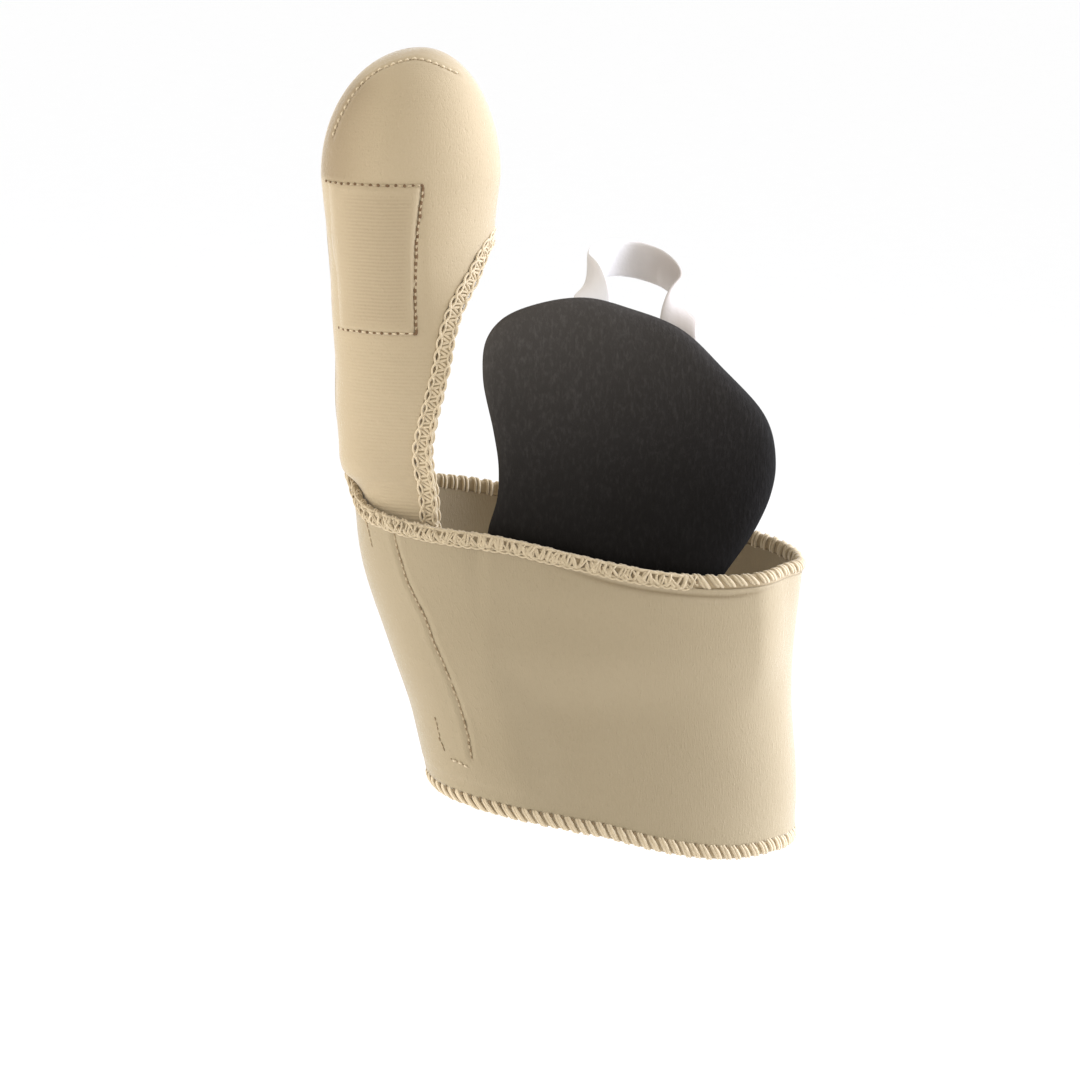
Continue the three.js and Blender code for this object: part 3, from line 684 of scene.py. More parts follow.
# Seam lines on the sleeve and the band, as (run, fall) or (turn, z)
def polyline_gap(points, line):
    """Distance in the plane from each point to a polyline."""
    points = points.reshape(-1, 2)
    best = np.full(len(points), 1e9)
    for a, b in zip(line[:-1], line[1:]):
        step = b - a
        t = np.clip(((points - a) @ step) / max(step @ step, 1e-12), 0, 1)
        best = np.minimum(best, np.linalg.norm(points - a - t[:, None] * step, axis=1))
    return best


# The seam over the cap: girth as a share of HALF_GIRTH and fall
TIP_SEAM = np.array([
    (0.864, -8.0), (0.856, -10.8), (0.85, -12.6), (0.841, -15.6), (0.83, -18.6), (0.811, -21.5),
    (0.775, -24.2), (0.737, -26.0), (0.68, -27.6), (0.6, -29.1), (0.511, -29.9), (0.42, -29.3),
    (0.338, -27.9), (0.266, -26.0), (0.19, -23.8),
])


def tip_seam():
    return spline(TIP_SEAM * (HALF_GIRTH, 1), 120)


def pocket_place(across, along_):
    """Run and fall of a place on the pocket, both shares from its medial top corner."""
    breadth = POCKET_BREADTH - POCKET_TAPER * along_
    top = CAP_BASE - POCKET_TOP_RISE
    return HALF_GIRTH - POCKET_INSET - breadth * across, top + POCKET_HEIGHT * along_


def opening_side():
    """Run and fall of the opening's border, from the web down one side."""
    drop, reach = OPENING.T
    return np.stack([-reach * OPENING_GIRTH / 2, CAP_BASE - WEB_RISE + drop * TAIL_DEPTH], 1)


def sleeve_piece():
    border = spaced(spline(opening_side(), 400), 168)
    cap = np.linspace(LOWEST, 0, 66)[1:]
    tube_falls = np.linspace(0, CAP_BASE - WEB_RISE, 14)[1:-1]
    fall = np.concatenate([cap, tube_falls, border[:, 1]])
    first_open = len(cap) + len(tube_falls)
    gap = np.concatenate([np.zeros(first_open), np.maximum(-border[:, 0], 0)])
    half_columns = 96
    columns = 2 * half_columns
    j = np.arange(columns + 1)
    side = np.where(j <= half_columns, 1, -1)
    share = np.abs(1 - j / half_columns)
    run = side * (HALF_GIRTH - share * (HALF_GIRTH - gap[:, None]))
    down = np.broadcast_to(fall[:, None], run.shape)
    groove, slack, shade, ribs = sleeve_relief(run, down)
    outer = sleeve_at(run, down, SLEEVE_WALL + groove + slack)
    inner = sleeve_at(run, down, slack)
    size = run.size
    own = np.arange(size).reshape(run.shape)
    grid = own.copy()
    grid[:first_open + 1, -1] = grid[:first_open + 1, 0]
    pole = sleeve_at(0.0, LOWEST, np.array([SLEEVE_WALL, 0.0]))
    points = np.concatenate([outer.reshape(-1, 3), inner.reshape(-1, 3), pole])
    flat = np.stack([run, down], -1).reshape(-1, 2)
    quads = shell(grid, first_open, size)
    tips = 2 * size + np.repeat([0, 1], columns)
    a, b = grid[0, :-1], grid[0, 1:]
    k = own[0, :-1]
    caps = np.stack([tips, np.append(a, b + size), np.append(b, a + size)], 1)
    cap_places = np.stack([np.append(k, k), np.append(k, k + 1), np.append(k + 1, k)], 1)
    uv = flat[np.concatenate([(shell(own, first_open, size) % size).ravel(), cap_places.ravel()])]
    used = np.zeros(len(points), bool)
    used[np.append(quads, caps)] = True
    renumber = np.cumsum(used) - 1
    faces = [*renumber[quads], *renumber[caps]]
    # Painted shade of 0.25 on the inner face and its pole
    shade = np.concatenate([shade.ravel(), np.full(size, 0.25), [0, 0.25]])
    ribs = np.concatenate([ribs.ravel(), np.zeros(size + 2)])
    thing = mesh_object("toe_sleeve_cloth", points[used], faces, KNIT_SLEEVE, "knit", uv,
                        shade=shade[used], ribs=ribs[used])
    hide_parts("toe_sleeve")
    return thing


def sleeve_relief(run, down):
    """Depth of the sleeve's seams, its slack above the band, its painted shade and its ribs."""
    places = np.stack([run, down], -1)
    seam = polyline_gap(places, tip_seam()).reshape(run.shape)
    groove = -0.08 * hump(seam, 0.6) + 0.08 * hump(seam - 1.6, 0.8)
    # Painted shade along the tip seam's groove
    shade = 0.05 * hump(seam, 0.5)
    # Painted shade on the cap's medial side, above the pocket's top
    painted_cap_shade = smooth(29, 41, run) * smooth(48.5, 45, run) * smooth(1.0, -0.6, down)
    shade = shade + 0.5 * painted_cap_shade * smooth(-27, -18, down)
    soft = 0.22 * np.sin(down * 0.21 + run * 0.05) * np.sin(run * 0.13 + 1.0) * smooth(0, 20, down)
    patch = smooth(24.6, 22.9, run) * smooth(20.5, 22.2, run)
    patch = patch * smooth(-1, 2, down) * smooth(33, 29, down)
    groove = groove - 0.16 * patch
    z = CAP_BASE - down
    medial = hump(HALF_GIRTH - np.abs(run), 11)
    fold = SLACK_FOLD * hump(z - SLACK_RISE, SLACK_SPREAD)
    slack = medial * (fold + HUG * smooth(30, 42, z) * smooth(49, 46, z))
    ribs = smooth(28, 40, down) * smooth(6, 14, run) * smooth(44, 36, run)
    return groove + soft, slack, shade, ribs


# Stitches
def stitches(name, points, normals, pitch, hole, thread, rise=0.0, deep=True):
    """A sewn line: thread, sunk unless it has a rise, and a dark bead of painted shade for a hole
    (length, width) at every pitch.
    """
    line = np.concatenate([points, normals], 1)
    total = np.linalg.norm(np.diff(points, axis=0), axis=1).sum()
    count = max(2, int(round(total / pitch)))
    line = spaced(line, count * 8 + 1)
    parts, holes = [], []
    width = np.array([0.3, 0.85, 1.0, 1.0, 0.85, 0.3])
    lift = np.array([-0.9, -0.1, 0.2, 0.2, -0.1, -0.9]) + rise
    for k in range(count + 1):
        at = line[k * 8]
        ahead = line[min(k * 8 + 1, count * 8)] - line[max(k * 8 - 1, 0)]
        size = np.array(hole) * rng.uniform(0.75, 1.15, 2)
        shift = rng.normal(0, 0.06, 3)
        holes.append(bead(at[:3] + shift, unit(at[3:]), unit(ahead[:3]), size))
        if k < count:
            piece = line[k * 8 + 2:k * 8 + 8]
            out = unit(piece[:, 3:])
            places = piece[:, :3] + out * (lift * thread)[:, None] + shift * 0.5
            parts.append(tube(places, out, width * thread))
    mesh_object(name, *joined(parts), THREAD_MATERIAL if rise else STITCH_MATERIAL, "edging")
    mesh_object(name + "_holes", *joined(holes), HOLE_DEEP if deep else HOLE_SOFT, "knit")


def bead(centre, normal, ahead, size):
    """A flat dark bead of painted shade, in the mouth of a needle hole or between threads."""
    side = np.cross(normal, ahead)
    sides = 10
    angle = TURN * np.arange(sides)[:, None] / sides
    ring = ahead * np.cos(angle) * size[0] / 2 + side * np.sin(angle) * size[1] / 2
    levels = ((-0.2, 0.7), (0.0, 1.0), (0.05, 0.6))
    points = np.concatenate([centre + ring * r + normal * h for h, r in levels])
    return points, ring_faces(len(levels), sides)


def line_on(at, places, offset):
    """Points and normals of a line of places on a surface."""
    a, b = places[:, 0], places[:, 1]
    low, high = at(a, b, offset), at(a, b, offset + 1.0)
    return low, high - low


# Overlocked edging. A border's place(s, w, h) gives points from the length along the edge, the
# width from the cloth's side to the free edge, and the height from the middle of the wall
Border = namedtuple("Border", "place length closed")


def wraps(border, pitch, radius, falling, bulk=None):
    """Yarn wound round an edge, leaning over its outer face; falling is 1 from the free edge."""
    count = int(round(border.length / pitch))
    step = border.length / count
    steps = 16
    t = np.arange(count * steps) / steps
    whole = np.floor(t)
    angle = TURN * (t - whole)
    wobble = np.interp(t, np.arange(count + 1), np.append(rng.normal(0, 1, count), 0))
    sag = np.interp(t + 0.37, np.arange(count + 2), rng.normal(0, 1, count + 2))
    size = np.ones(len(t)) if bulk is None else bulk(t * step)
    width = EDGING_WIDTH * size
    s = (t - 0.26 * np.cos(angle) + 0.045 * wobble) * step
    w = EDGING_WIDTH - width * (0.5 - 0.53 * falling * np.cos(angle)) + 0.09 * sag
    h = (BAND_WALL / 2 + 0.12 + 0.05 * wobble) * np.sin(angle) * np.minimum(1, 1.6 * size)
    girth = radius * (0.72 + 0.28 * np.clip(np.sin(angle), 0, 1)) * size ** 0.5
    parts = []
    for way in (-1, 1):
        path = np.stack([s + way * radius * 0.8, w, h + 0.06 * way], 1)
        parts.append(thread_on(border.place, path, (1, 0, 0), girth, border.closed))
    return parts


def whole_stitches(border, pitch):
    """The even number of stitches that fits best round the border, and the step between them."""
    count = 2 * int(round(border.length / pitch / 2))
    return count, border.length / count


def chain(border, pitch, at, size, radius, height, strength=None):
    """Two strands that cross at every stitch and leave an eyelet between the crossings."""
    count, step = whole_stitches(border, pitch)
    t = np.arange(count * 10 + (0 if border.closed else 1)) / 10
    share = np.ones(len(t)) if strength is None else strength(t * step)
    wobble = np.interp(t, np.arange(count + 2), rng.normal(0, 1, count + 2))
    spread = np.abs(np.sin(math.pi * t))
    parts = []
    for way in (-1, 1):
        w = at + way * size * (spread ** 0.8 * 1.15 - 0.15) * share + 0.05 * wobble
        h = height + 0.12 * way * np.cos(math.pi * t) - 0.85 * (1 - share)
        girth = radius * (1.35 - 0.35 * spread) * (0.4 + 0.6 * share)
        path = np.stack([t * step + 0.05 * wobble, w, h], 1)
        parts.append(thread_on(border.place, path, (0, 0, 1), girth, border.closed))
    return parts


def lattice(border, pitch, low, high, radius, height):
    """Thread that runs to and fro between the two sides of an edging."""
    count, step = whole_stitches(border, pitch)
    t = np.arange(count * 8 + (0 if border.closed else 1)) / 8
    parts = []
    for shift in (0.0, 0.5):
        swing = 0.5 - 0.5 * np.cos(TURN * (t + shift * 0.4))
        path = np.stack([(t + shift) * step, low + (high - low) * swing,
                         height - 0.1 + 0.12 * np.sin(math.pi * swing)], 1)
        parts.append(thread_on(border.place, path, (0, 0, 1), radius, border.closed))
    return parts


def tangle(border, pitch, low, high, radius, height, where):
    """Loose strands that lean both ways between the sides, and dark beads of painted shade in the
    gaps beside them.
    """
    parts, holes = [], []
    t = np.linspace(0, 1, 8)
    for k in range(int(border.length / pitch)):
        at = (k + rng.uniform(-0.22, 0.22)) * pitch
        lean, back = rng.uniform(0.2, 1.1), rng.uniform(-1.1, -0.2)
        share, bend = rng.uniform(0.45, 1.0), rng.normal(0, 0.16, 2)
        strength = float(where(at))
        girth = radius * rng.uniform(0.75, 1.3, 2) * strength
        spot, size = rng.uniform(0.25, 0.75, 2), rng.uniform(0.7, 1.2, 2)
        if strength < 0.5:
            continue
        for i, (slope, reach) in enumerate(((lean, 1.0), (back, share))):
            path = np.stack([at + slope * pitch * t + bend[i] * np.sin(math.pi * t),
                             low + (high - low) * t * reach,
                             height - 0.3 + 0.42 * np.sin(math.pi * t) ** 0.5], 1)
            parts.append(thread_on(border.place, path, (0, 0, 1), girth[i], False))
        s = np.array([at + 0.5 * pitch + 0.3 * (spot[0] - 0.5) * pitch])
        w, h = low + (high - low) * (0.2 + 0.5 * spot[1:]), np.array([height + 0.07])
        holes += beads(border, s, w, h, [(0.68, 0.95) * size])
    return parts, holes


def beads(border, s, w, h, sizes):
    centres = border.place(s, w, h)
    ahead, out = border.place(s + 0.1, w, h) - centres, border.place(s, w, h + 0.1) - centres
    return [bead(c, o, a, size) for c, o, a, size in zip(centres, unit(out), unit(ahead), sizes)]


def thread_on(place, path, side, radius, closed):
    """Thread along a path of (s, w, h)."""
    points = place(*path.T)
    return tube(points, place(*(path + np.array(side) * 0.05).T) - points, radius, closed)


def eyelets(border, pitch, at, size, height, shift=0.5):
    """Dark beads of painted shade in the mouths between the strands of a chain or of a row of wraps.
    """
    count, _ = whole_stitches(border, pitch)
    s = (np.arange(count) + shift) * border.length / count
    sizes = [np.array(size) * rng.uniform(0.7, 1.1, 2) for _ in range(count)]
    return beads(border, s, np.full(count, at), np.full(count, height), sizes)


def edging(name, node, border, parts, holes, core_material, thread=THREAD_MATERIAL):
    threads = mesh_object(name + "_threads", *joined(parts), thread, "edging")
    # Dark beads of painted shade in the gaps and eyelets between the threads
    dark = mesh_object(name + "_eyelets", *joined(holes), HOLE_SOFT, "edging")
    core = edging_core(name, border, core_material)
    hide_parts(node)
    return [core, threads, dark]


def edging_core(name, border, material):
    """The cloth's edge inside the threads."""
    count = int(border.length / 1.4)
    sides = 16
    s = np.linspace(0, border.length, count, endpoint=not border.closed)
    angle = TURN * np.arange(sides) / sides
    bow = np.sign(np.cos(angle)) * np.abs(np.cos(angle)) ** 0.6
    w = EDGING_WIDTH * 0.5 + (EDGING_WIDTH * 0.5 + 0.02) * bow
    h = (BAND_WALL / 2 - 0.06) * np.sign(np.sin(angle)) * np.abs(np.sin(angle)) ** 0.7
    grid = border.place(*np.broadcast_arrays(s[:, None], w[None, :], h[None, :]))
    faces = ring_faces(count, sides, border.closed)
    return mesh_object(name + "_core", grid.reshape(-1, 3), faces, material, "edging")


def band_edging(column):
    """Border of a band rim, and the turn in degrees at a length along it."""
    turns = np.linspace(0, TURN, 1441)
    way = -1 if column == 1 else 1
    middle = rim(turns, column) + way * EDGING_WIDTH / 2
    line = band_at(turns, middle, BAND_WALL / 2)
    girth = distances(line)

    def place(s, w, h):
        turn = np.interp(s % girth[-1], girth, turns)
        return band_at(turn, rim(turn, column) + way * (EDGING_WIDTH - w), BAND_WALL / 2 + h)

    def degrees(s):
        return (np.degrees(np.interp(s % girth[-1], girth, turns)) + 180) % 360 - 180

    return Border(place, girth[-1], True), degrees


def opening_edging():
    """Border of the sleeve's opening."""
    left = opening_side()
    right = left[:0:-1] * (-1, 1)
    border = spline(np.concatenate([right, left]), 1600)
    hidden = 0.12
    border = border[int(hidden * 1600):int((1 - hidden) * 1600)]
    ahead = unit(np.gradient(border, axis=0))
    inward = np.stack([ahead[:, 1], -ahead[:, 0]], 1)
    if inward[len(inward) // 2][1] < 0:
        inward = -inward
    middle = border + inward * (CLEARANCE + EDGING_WIDTH / 2)
    line = sleeve_at(*middle.T, SLEEVE_WALL / 2)
    girth = distances(line)

    def place(s, w, h):
        s = np.clip(s, 0, girth[-1])
        run, down, across, along_ = (np.interp(s, girth, column) for column in (*border.T, *inward.T))
        reach = CLEARANCE + w
        return sleeve_at(run + across * reach, down + along_ * reach, SLEEVE_WALL / 2 + h)

    return Border(place, girth[-1], False)


# The band
def band_piece():
    columns, rows = 420, 108
    turn = TURN * np.arange(columns + 1) / columns
    share = (np.arange(rows) / (rows - 1)) ** 1.15
    top = rim(turn, 1) - EDGING_WIDTH + 0.35
    bottom = rim(turn, 2) + EDGING_WIDTH - 0.35
    z = top[:, None] + (bottom - top)[:, None] * share[None, :]
    turns = np.broadcast_to(turn[:, None], z.shape)
    relief, shade = band_relief(turns, z, top[:, None] - z, z - bottom[:, None])
    outer = band_at(turns, z, BAND_WALL + relief)
    inner = band_at(turns, z, np.minimum(relief, 0.2))
    rings = np.concatenate([outer, inner[:, ::-1]], 1)
    across = distances(outer[:, rows // 2])
    fall = np.concatenate([z, z[:, ::-1] - 200], 1)
    uv_grid = np.stack([np.broadcast_to(across[:, None], fall.shape), fall], -1)
    width = 2 * rows
    corners = loop_quads(columns, width)
    i, j = corners[..., 0], corners[..., 1]
    index = (i % columns) * width + j % width
    uv = uv_grid[i, j % width]
    # Painted shade of 0.2 on the band's inner face
    shades = np.concatenate([shade, np.full_like(shade, 0.2)], 1)[:columns]
    thing = mesh_object("midfoot_band_cloth", rings[:columns].reshape(-1, 3), index, KNIT_BAND,
                        "knit", uv.reshape(-1, 2), shade=shades.ravel())
    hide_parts("midfoot_band")
    return thing


def band_relief(turn, z, below_top, above_bottom):
    """Fold under the top edging, the sewn line at the side, the soft waves of worn cloth, and painted
    shade in the fold's crease and along the sewn line.
    """
    degrees = (np.degrees(turn) + 180) % 360 - 180
    fold_share = smooth(-14, 8, degrees) * smooth(56, 36, degrees)
    crease = 0.5 + 0.75 * fold_share
    lip = 0.3 * fold_share * hump(below_top - crease * 0.4, crease * 0.5)
    drop = -0.42 * fold_share * hump(below_top - crease - 0.25, 0.5)
    full = 0.5 * smooth(-40, 20, degrees) * smooth(75, 45, degrees)
    bulge = full * hump(below_top - 6.5, 3.6)
    places = np.stack([degrees, z], -1) * (0.72, 1)
    seam = polyline_gap(places, spline(SIDE_SEAM * (0.72, 1), 60)).reshape(z.shape)
    side = np.abs(degrees) < 90
    sewn = -0.2 * hump(seam, 0.7) + 0.1 * hump(seam - 1.7, 0.8)
    wave = 0.16 * np.sin(z * 0.16 + np.sin(turn) * 2.2) * np.sin(turn * 3 + 0.6)
    wave = wave * smooth(0, 9, below_top) * smooth(0, 8, above_bottom) * (1 - hump(seam, 5))
    hem = -0.12 * hump(above_bottom - 2.6, 0.7) * smooth(-15, -50, degrees) * side
    # Painted shade in the crease under the lip and along the side seam's groove
    shade = 0.4 * fold_share * hump(below_top - crease - 0.3, 0.3)
    shade = shade + 0.14 * side * hump(seam, 0.5)
    return lip + drop + bulge + side * sewn + wave + hem, shade


# Line that sews the sleeve's tail to the band, its foot, and needle rows beside it, in degrees
# from the sole's middle and height
SIDE_SEAM = np.array([
    (-54.6, 36.0), (-54.3, 34.8), (-53.7, 31.5), (-52.6, 27.8), (-51.4, 23.8), (-49.3, 19.6),
    (-48.3, 17.1), (-47.9, 12.6), (-46.5, 7.6), (-45.9, 1.6), (-45.6, -4.4), (-45.4, -8.3),
    (-45.7, -12.3),
])
SEAM_FOOT = np.array([(-54.3, -13.1), (-50.3, -13.8), (-47.4, -14.6)])
NEEDLE_ROW = np.array([(-69.2, 37.2), (-68.1, 35.0), (-66.9, 31.5)])
LOW_NEEDLE_ROW = np.array([(-58.3, -4.6), (-58.3, -8.8), (-57.2, -11.1)])


def band_places(table):
    return spline(table, 160) * (math.radians(1), 1)


# The pad
def pad_piece():
    """Rings from the middle of the face out to the rim, round it and back over the flat side."""
    around = 260
    edge = pad_edge(around)
    middle = np.array([PAD_X, PAD_Z])
    shares = np.concatenate([np.linspace(0.02, 0.86, 34), np.linspace(0.875, 0.985, 10)])
    rounding = 1 - np.exp(-(1 - shares) * PAD_BREADTH / 2 / PAD_ROUNDING)
    full = 1 - math.exp(-PAD_BREADTH / 2 / PAD_ROUNDING)
    face = PAD_WALL * (0.5 + 0.5 * rounding / full)
    angle = np.linspace(0, math.pi, 15)[1:-1]
    shares = np.concatenate([shares, 0.985 + 0.015 * np.sin(angle), shares[::-1]])
    walls = np.concatenate([face, PAD_WALL * (0.27 + 0.3 * np.cos(angle)), 0 * face])
    grid = []
    for share, wall in zip(shares, walls):
        x, z = (middle + (edge - middle) * share).T
        swell = 0.12 * np.sin(x * 0.35 + 1) * np.sin(z * 0.27) if wall > PAD_WALL * 0.7 else 0
        grid.append(foot_at(sole_turn(x, z), z, pad_stand(z) + wall + swell))
    faces = ring_faces(len(grid), around)
    thing = mesh_object("forefoot_pad_cloth", np.concatenate(grid), faces, pad_material(), "pad")
    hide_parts("forefoot_pad")


# The toe loop
def loop_piece():
    across, along_, deep, twist = LOOP_STATIONS.T
    x = PAD_X + 1.2 + across * LOOP_SPAN
    z = LOOP_RISE + along_ * LOOP_WIDTH
    face = foot_point(sole_turn(x, z), z)[:, 1]
    y = face - LOOP_WALL / 2 - CLEARANCE / 2 + deep * LOOP_DEPTH
    steps = 150
    route = spline(np.stack([x, y, z], 1), steps)
    turned = spline(np.stack([twist, twist * 0, np.arange(len(twist))], 1), steps)[:, 0] * QUARTER
    side = np.where(np.arange(steps) < steps / 2, 1, -1)
    ahead = unit(np.gradient(route, axis=0))
    wide = np.stack([np.cos(turned) * side, 0 * turned, np.sin(turned)], 1)
    wide = unit(wide - ahead * (wide * ahead).sum(1, keepdims=True))
    thick = np.cross(ahead, wide)
    sides = 18
    angle = TURN * np.arange(sides) / sides
    flat_w = np.sign(np.cos(angle)) * np.abs(np.cos(angle)) ** 0.45
    flat_t = np.sign(np.sin(angle)) * np.abs(np.sin(angle)) ** 0.8
    grid = (route[:, None] + wide[:, None] * (flat_w * LOOP_WIDTH / 2 * 0.97)[None, :, None]
            + thick[:, None] * (flat_t * LOOP_WALL / 2)[None, :, None])
    faces = ring_faces(steps, sides)
    thing = mesh_object("toe_loop_strap", grid.reshape(-1, 3), faces, loop_material(), "loop")
    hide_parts("toe_loop")
    return thing


# The pocket
def pocket_piece():
    rows, columns = 210, 34
    across, along_ = np.meshgrid(np.linspace(0, 1, columns), np.linspace(0, 1, rows))
    run, down = pocket_place(across, along_)
    sides = [across * POCKET_BREADTH / 2.5, along_ * POCKET_HEIGHT, (1 - along_) * POCKET_HEIGHT]
    inset = np.min(sides, axis=0)
    sewn = (1 - across) * POCKET_BREADTH
    free = smooth(0, 1.5, inset) * smooth(0, 0.65, sewn)
    inside = smooth(1.2, 4, inset) * smooth(1.0, 2.5, sewn)
    wave = np.sin(down * TURN / POCKET_RIB + 0.3 * np.sin(run * 0.8))
    base = SLEEVE_WALL - 0.35
    wall = 0.3 + (0.5 + 0.028 * wave * inside) * free
    # A slightly darker tone over the pocket, with painted shade in the rib troughs and in the gap at
    # the sewn edge
    shade = 0.07 * free + 0.075 * inside * (1 - wave) + 0.1 * hump(sewn, 0.3)
    outer = sleeve_at(run, down, base + wall)
    inner = sleeve_at(run, down, base)
    points = np.concatenate([outer.reshape(-1, 3), inner.reshape(-1, 3)])
    faces = shell(np.arange(run.size).reshape(run.shape), 0, run.size)
    uv = np.stack([run, down], -1).reshape(-1, 2)[faces.ravel() % run.size]
    thing = mesh_object("toe_pocket_cloth", points, faces, KNIT_SLEEVE, "ribbed_knit", uv,
                        shade=np.tile(shade.ravel(), 2))
    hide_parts("toe_pocket")


def sleeve_cut():
    """Breadth, length and area of the sleeve's flat cut, from the sizes of its parts alone."""
    tilt = np.linspace(0, QUARTER, 200)
    curve = np.stack([HALF_GIRTH / math.pi * np.cos(tilt), TOE_CAP_HEIGHT * np.sin(tilt)], 1)
    arc = distances(curve)
    closed = CAP_BASE - WEB_RISE
    fall, gap = OPENING.T * ((TAIL_DEPTH,), (OPENING_GIRTH / 2,))
    girths = ((2 * HALF_GIRTH * np.cos(tilt), arc), (2 * (HALF_GIRTH - gap), fall))
    area = 2 * HALF_GIRTH * closed
    for girth, at in girths:
        area += ((girth[1:] + girth[:-1]) / 2 * np.diff(at)).sum()
    return 2 * HALF_GIRTH * MM, (arc[-1] + closed + TAIL_DEPTH) * MM, area * MM * MM


# Camera, light and floor
FLOOR_Z = -0.25
SCALE = 0.21
VIEW_RISE = math.radians(10)
VIEW_DISTANCE = 1300.0
PICTURE = 1080
MIDDLE_PX = PICTURE / 2
ORIGIN_PX = (595, 682)


def camera():
    data = bpy.data.cameras.new("camera")
    data.sensor_width = 36
    data.lens = data.sensor_width * VIEW_DISTANCE / (PICTURE * SCALE)
    data.clip_start, data.clip_end = 0.05, 20
    thing = placed("camera", data)
    aim = Vector(((MIDDLE_PX - ORIGIN_PX[0]) * SCALE, 0,
                  (ORIGIN_PX[1] - MIDDLE_PX) * SCALE / math.cos(VIEW_RISE))) * MM
    back = Vector((0, -math.cos(VIEW_RISE), math.sin(VIEW_RISE)))
    thing.location = aim + back * VIEW_DISTANCE * MM
    thing.rotation_euler = back.to_track_quat("Z", "Y").to_euler()
    bpy.context.scene.camera = thing


def area_light(name, place, size, power, colour, aim=(0, 0, 0.05), spread=180):
    """A rectangular light in metres and watts."""
    data = bpy.data.lights.new(name, "AREA")
    data.shape = "RECTANGLE"
    data.size, data.size_y = size
    data.energy = power
    data.color = colour
    data.spread = math.radians(spread)
    thing = placed(name, data)
    thing.location = place
    thing.rotation_euler = (Vector(place) - Vector(aim)).to_track_quat("Z", "Y").to_euler()


def studio():
    world = bpy.data.worlds.new("studio")
    world.use_nodes = True
    sky = world.node_tree.nodes["Background"].inputs
    sky["Color"].default_value = (1, 1, 1, 1)
    sky["Strength"].default_value = 1.02
    bpy.context.scene.world = world
    bpy.context.scene.view_settings.view_transform = "Standard"
    area_light("key", (0.75, 0.12, 0.3), (0.5, 0.9), 18.5, (0.92, 1.0, 1.2))
    area_light("side", (-0.78, 0.05, 0.0), (0.4, 0.9), 7.5, (1, 1, 1))
    area_light("top", (-0.04, -0.25, 0.27), (0.08, 0.08), 0.012, (1, 1, 1),
               (-0.012, -0.02, 0.105), 36)
    area_light("low", (0.12, -0.45, -0.22), (0.3, 0.1), 0.15, (1, 0.98, 0.9), (0, 0, -0.02))
    floor = bpy.data.meshes.new("floor")
    corners = [(x, y, FLOOR_Z) for x, y in ((-6, -6), (6, -6), (6, 6), (-6, 6))]
    floor.from_pydata(corners, [], [(0, 1, 2, 3)])
    white = Nodes("floor_paper", (0.9, 0.9, 0.9), 0.9)
    grain = white.noise(white.solid(), 60.0)
    white.colour(white.blend(grain, (0.96, 0.96, 0.96), (0.98, 0.98, 0.98)))
    floor.materials.append(white.material)
    placed("floor", floor)


camera()
studio()

sleeve = sleeve_piece()
band = band_piece()
pocket_piece()
pad_piece()
loop = loop_piece()

# Edgings: the top one is a tangle in front and a rope behind
TOP_RIM, degrees = band_edging(1)
LOW_RIM, _ = band_edging(2)
OPENING_RIM = opening_edging()
BAND_FACE = BAND_WALL / 2 + 0.22
SLEEVE_FACE = SLEEVE_WALL / 2 + 0.14
FREE_EDGE = EDGING_WIDTH - 0.35
TOP_PITCH = 2.6
LOW_PITCH = 2.2
OPENING_PITCH = 2.8
CHAIN_SIZE = 0.46
CHAIN_RADIUS = 0.25
SLIT = (1.05, 0.36)


def top_front(at):
    """1 where the top rim's face shows the tangle, 0 where it shows the rope."""
    turn = degrees(at)
    return smooth(-90, -78, turn) * smooth(30, 24, turn) * (0.75 + 0.25 * smooth(-60, -25, turn))


def top_bulk(at):
    """Thickness of the top rim's rope."""
    turn = degrees(at)
    slim = 0.3 * smooth(24, 40, turn) * smooth(120, 80, turn)
    behind = 0.3 * smooth(-78, -92, turn) * smooth(-150, -120, turn)
    return 1 - 0.68 * top_front(at) - slim - behind


strands, gaps = tangle(TOP_RIM, 1.5, 0.15, EDGING_WIDTH - 0.25, 0.4, BAND_FACE - 0.1, top_front)
loose, deep = tangle(TOP_RIM, 2.1, 0.3, EDGING_WIDTH - 0.15, 0.24, BAND_FACE + 0.12, top_front)
top_edging = edging(
    "band_top", "band_top_edging", TOP_RIM,
    wraps(TOP_RIM, TOP_PITCH, 0.5, 1, top_bulk) + strands + loose
    + chain(TOP_RIM, 1.9, 0.2, 0.34, CHAIN_RADIUS, BAND_FACE, top_front)
    + chain(TOP_RIM, 2.7, EDGING_WIDTH - 0.2, 0.12, 0.28, BAND_FACE - 0.25, top_front),
    gaps + deep, CORE_SHADED, TOP_THREAD_MATERIAL)

low_edging = edging(
    "band_bottom", "band_bottom_edging", LOW_RIM, wraps(LOW_RIM, LOW_PITCH, 0.41, -1),
    eyelets(LOW_RIM, LOW_PITCH, 0.5, (0.7, 1.1), BAND_WALL / 2 + 0.2, 0.45), CORE_SHADED)

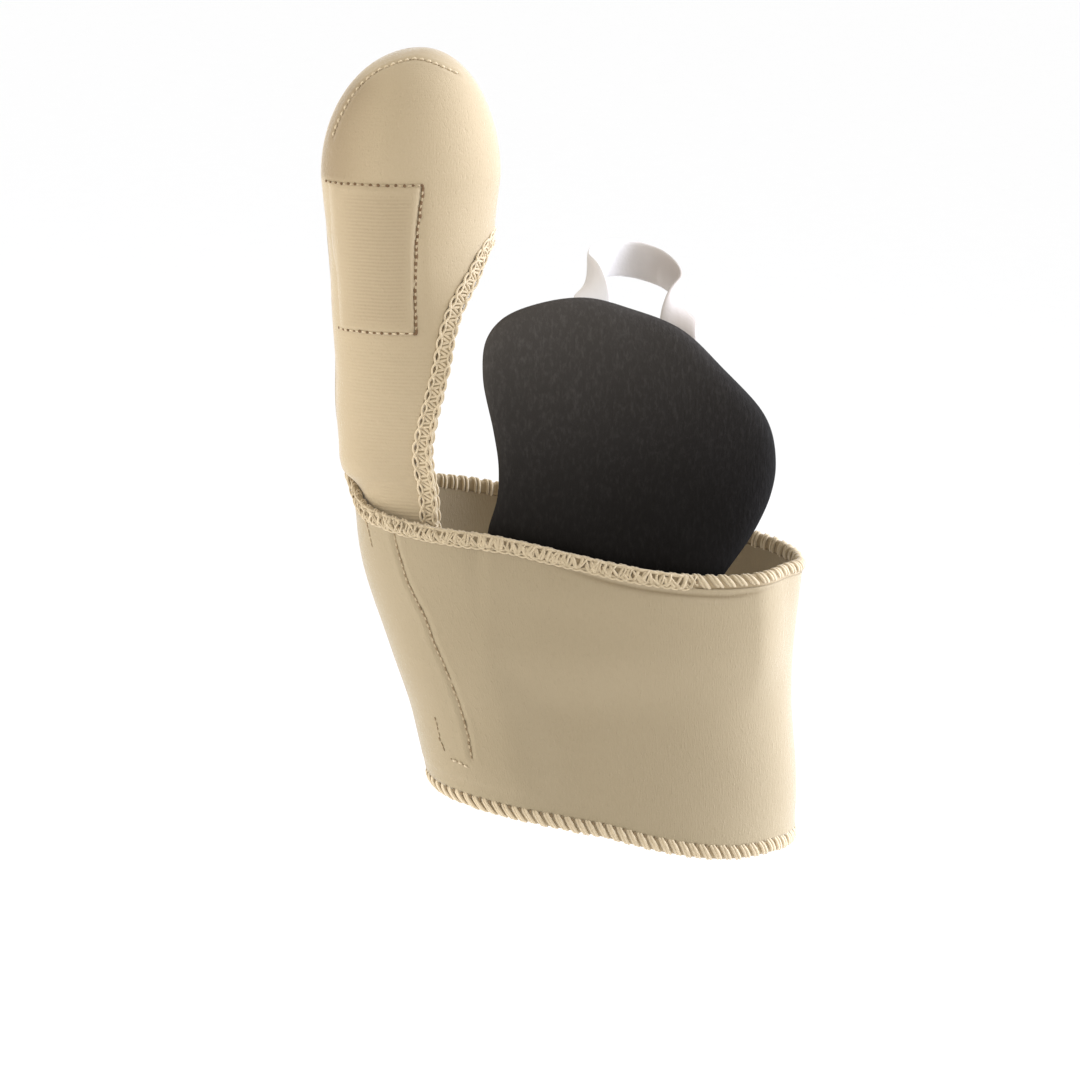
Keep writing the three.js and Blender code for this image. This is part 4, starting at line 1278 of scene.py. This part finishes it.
chains = []
for at, height in (
        (0.15, SLEEVE_FACE), (FREE_EDGE, SLEEVE_FACE - 0.12), (FREE_EDGE, 0.12 - SLEEVE_FACE)):
    chains += chain(OPENING_RIM, OPENING_PITCH, at, CHAIN_SIZE, CHAIN_RADIUS, height)
open_edging = edging(
    "toe_opening", "toe_opening_edging", OPENING_RIM,
    chains + lattice(OPENING_RIM, OPENING_PITCH, 0.3, EDGING_WIDTH - 0.5, 0.32, SLEEVE_FACE - 0.24),
    eyelets(OPENING_RIM, OPENING_PITCH, 0.15, SLIT, SLEEVE_FACE - 0.1)
    + eyelets(OPENING_RIM, OPENING_PITCH, FREE_EDGE, SLIT, SLEEVE_FACE - 0.2), CORE_PALE)

# Sewn lines on the sleeve and the pocket
places = spaced(tip_seam(), 200)
line = line_on(sleeve_at, places, SLEEVE_WALL - 0.05)
stitches("tip_seam", *line, 1.5, (0.34, 0.3), 0.26, 0.4, False)
places = spaced(np.array([pocket_place(1.012, y) for y in np.linspace(0.03, 0.97, 60)]), 160)
stitches("pocket_side", *line_on(sleeve_at, places, SLEEVE_WALL + 0.07), 1.4, (1.45, 0.75), 0.2)
for name, level, rise in (("pocket_top", 0.01, 0.0), ("pocket_foot", 0.985, 0.12)):
    places = np.array([pocket_place(x, level) for x in np.linspace(0.02, 1.0, 40)])
    stitches(name, *line_on(sleeve_at, places, SLEEVE_WALL + 0.13), 1.75, (0.8, 0.62), 0.2, rise)

# Sewn lines on the band: table, offset, pitch, hole, thread and its rise
for name, table, offset, pitch, hole, thread, rise in (
        ("side_seam", SIDE_SEAM, -0.1, 1.5, (1.15, 0.52), 0.2, 0.0),
        ("needle_row", NEEDLE_ROW, 0.04, 2.3, (0.8, 0.4), 0.2, 0.0),
        ("needle_row_low", LOW_NEEDLE_ROW, 0.04, 2.3, (0.9, 0.42), 0.2, 0.0),
        ("side_foot", SEAM_FOOT, 0.0, 1.5, (0.4, 0.3), 0.22, 0.4)):
    line = line_on(band_at, band_places(table), BAND_WALL + offset)
    stitches(name, *line, pitch, hole, thread, rise, False)

cut_breadth, cut_length, cut_area = sleeve_cut()
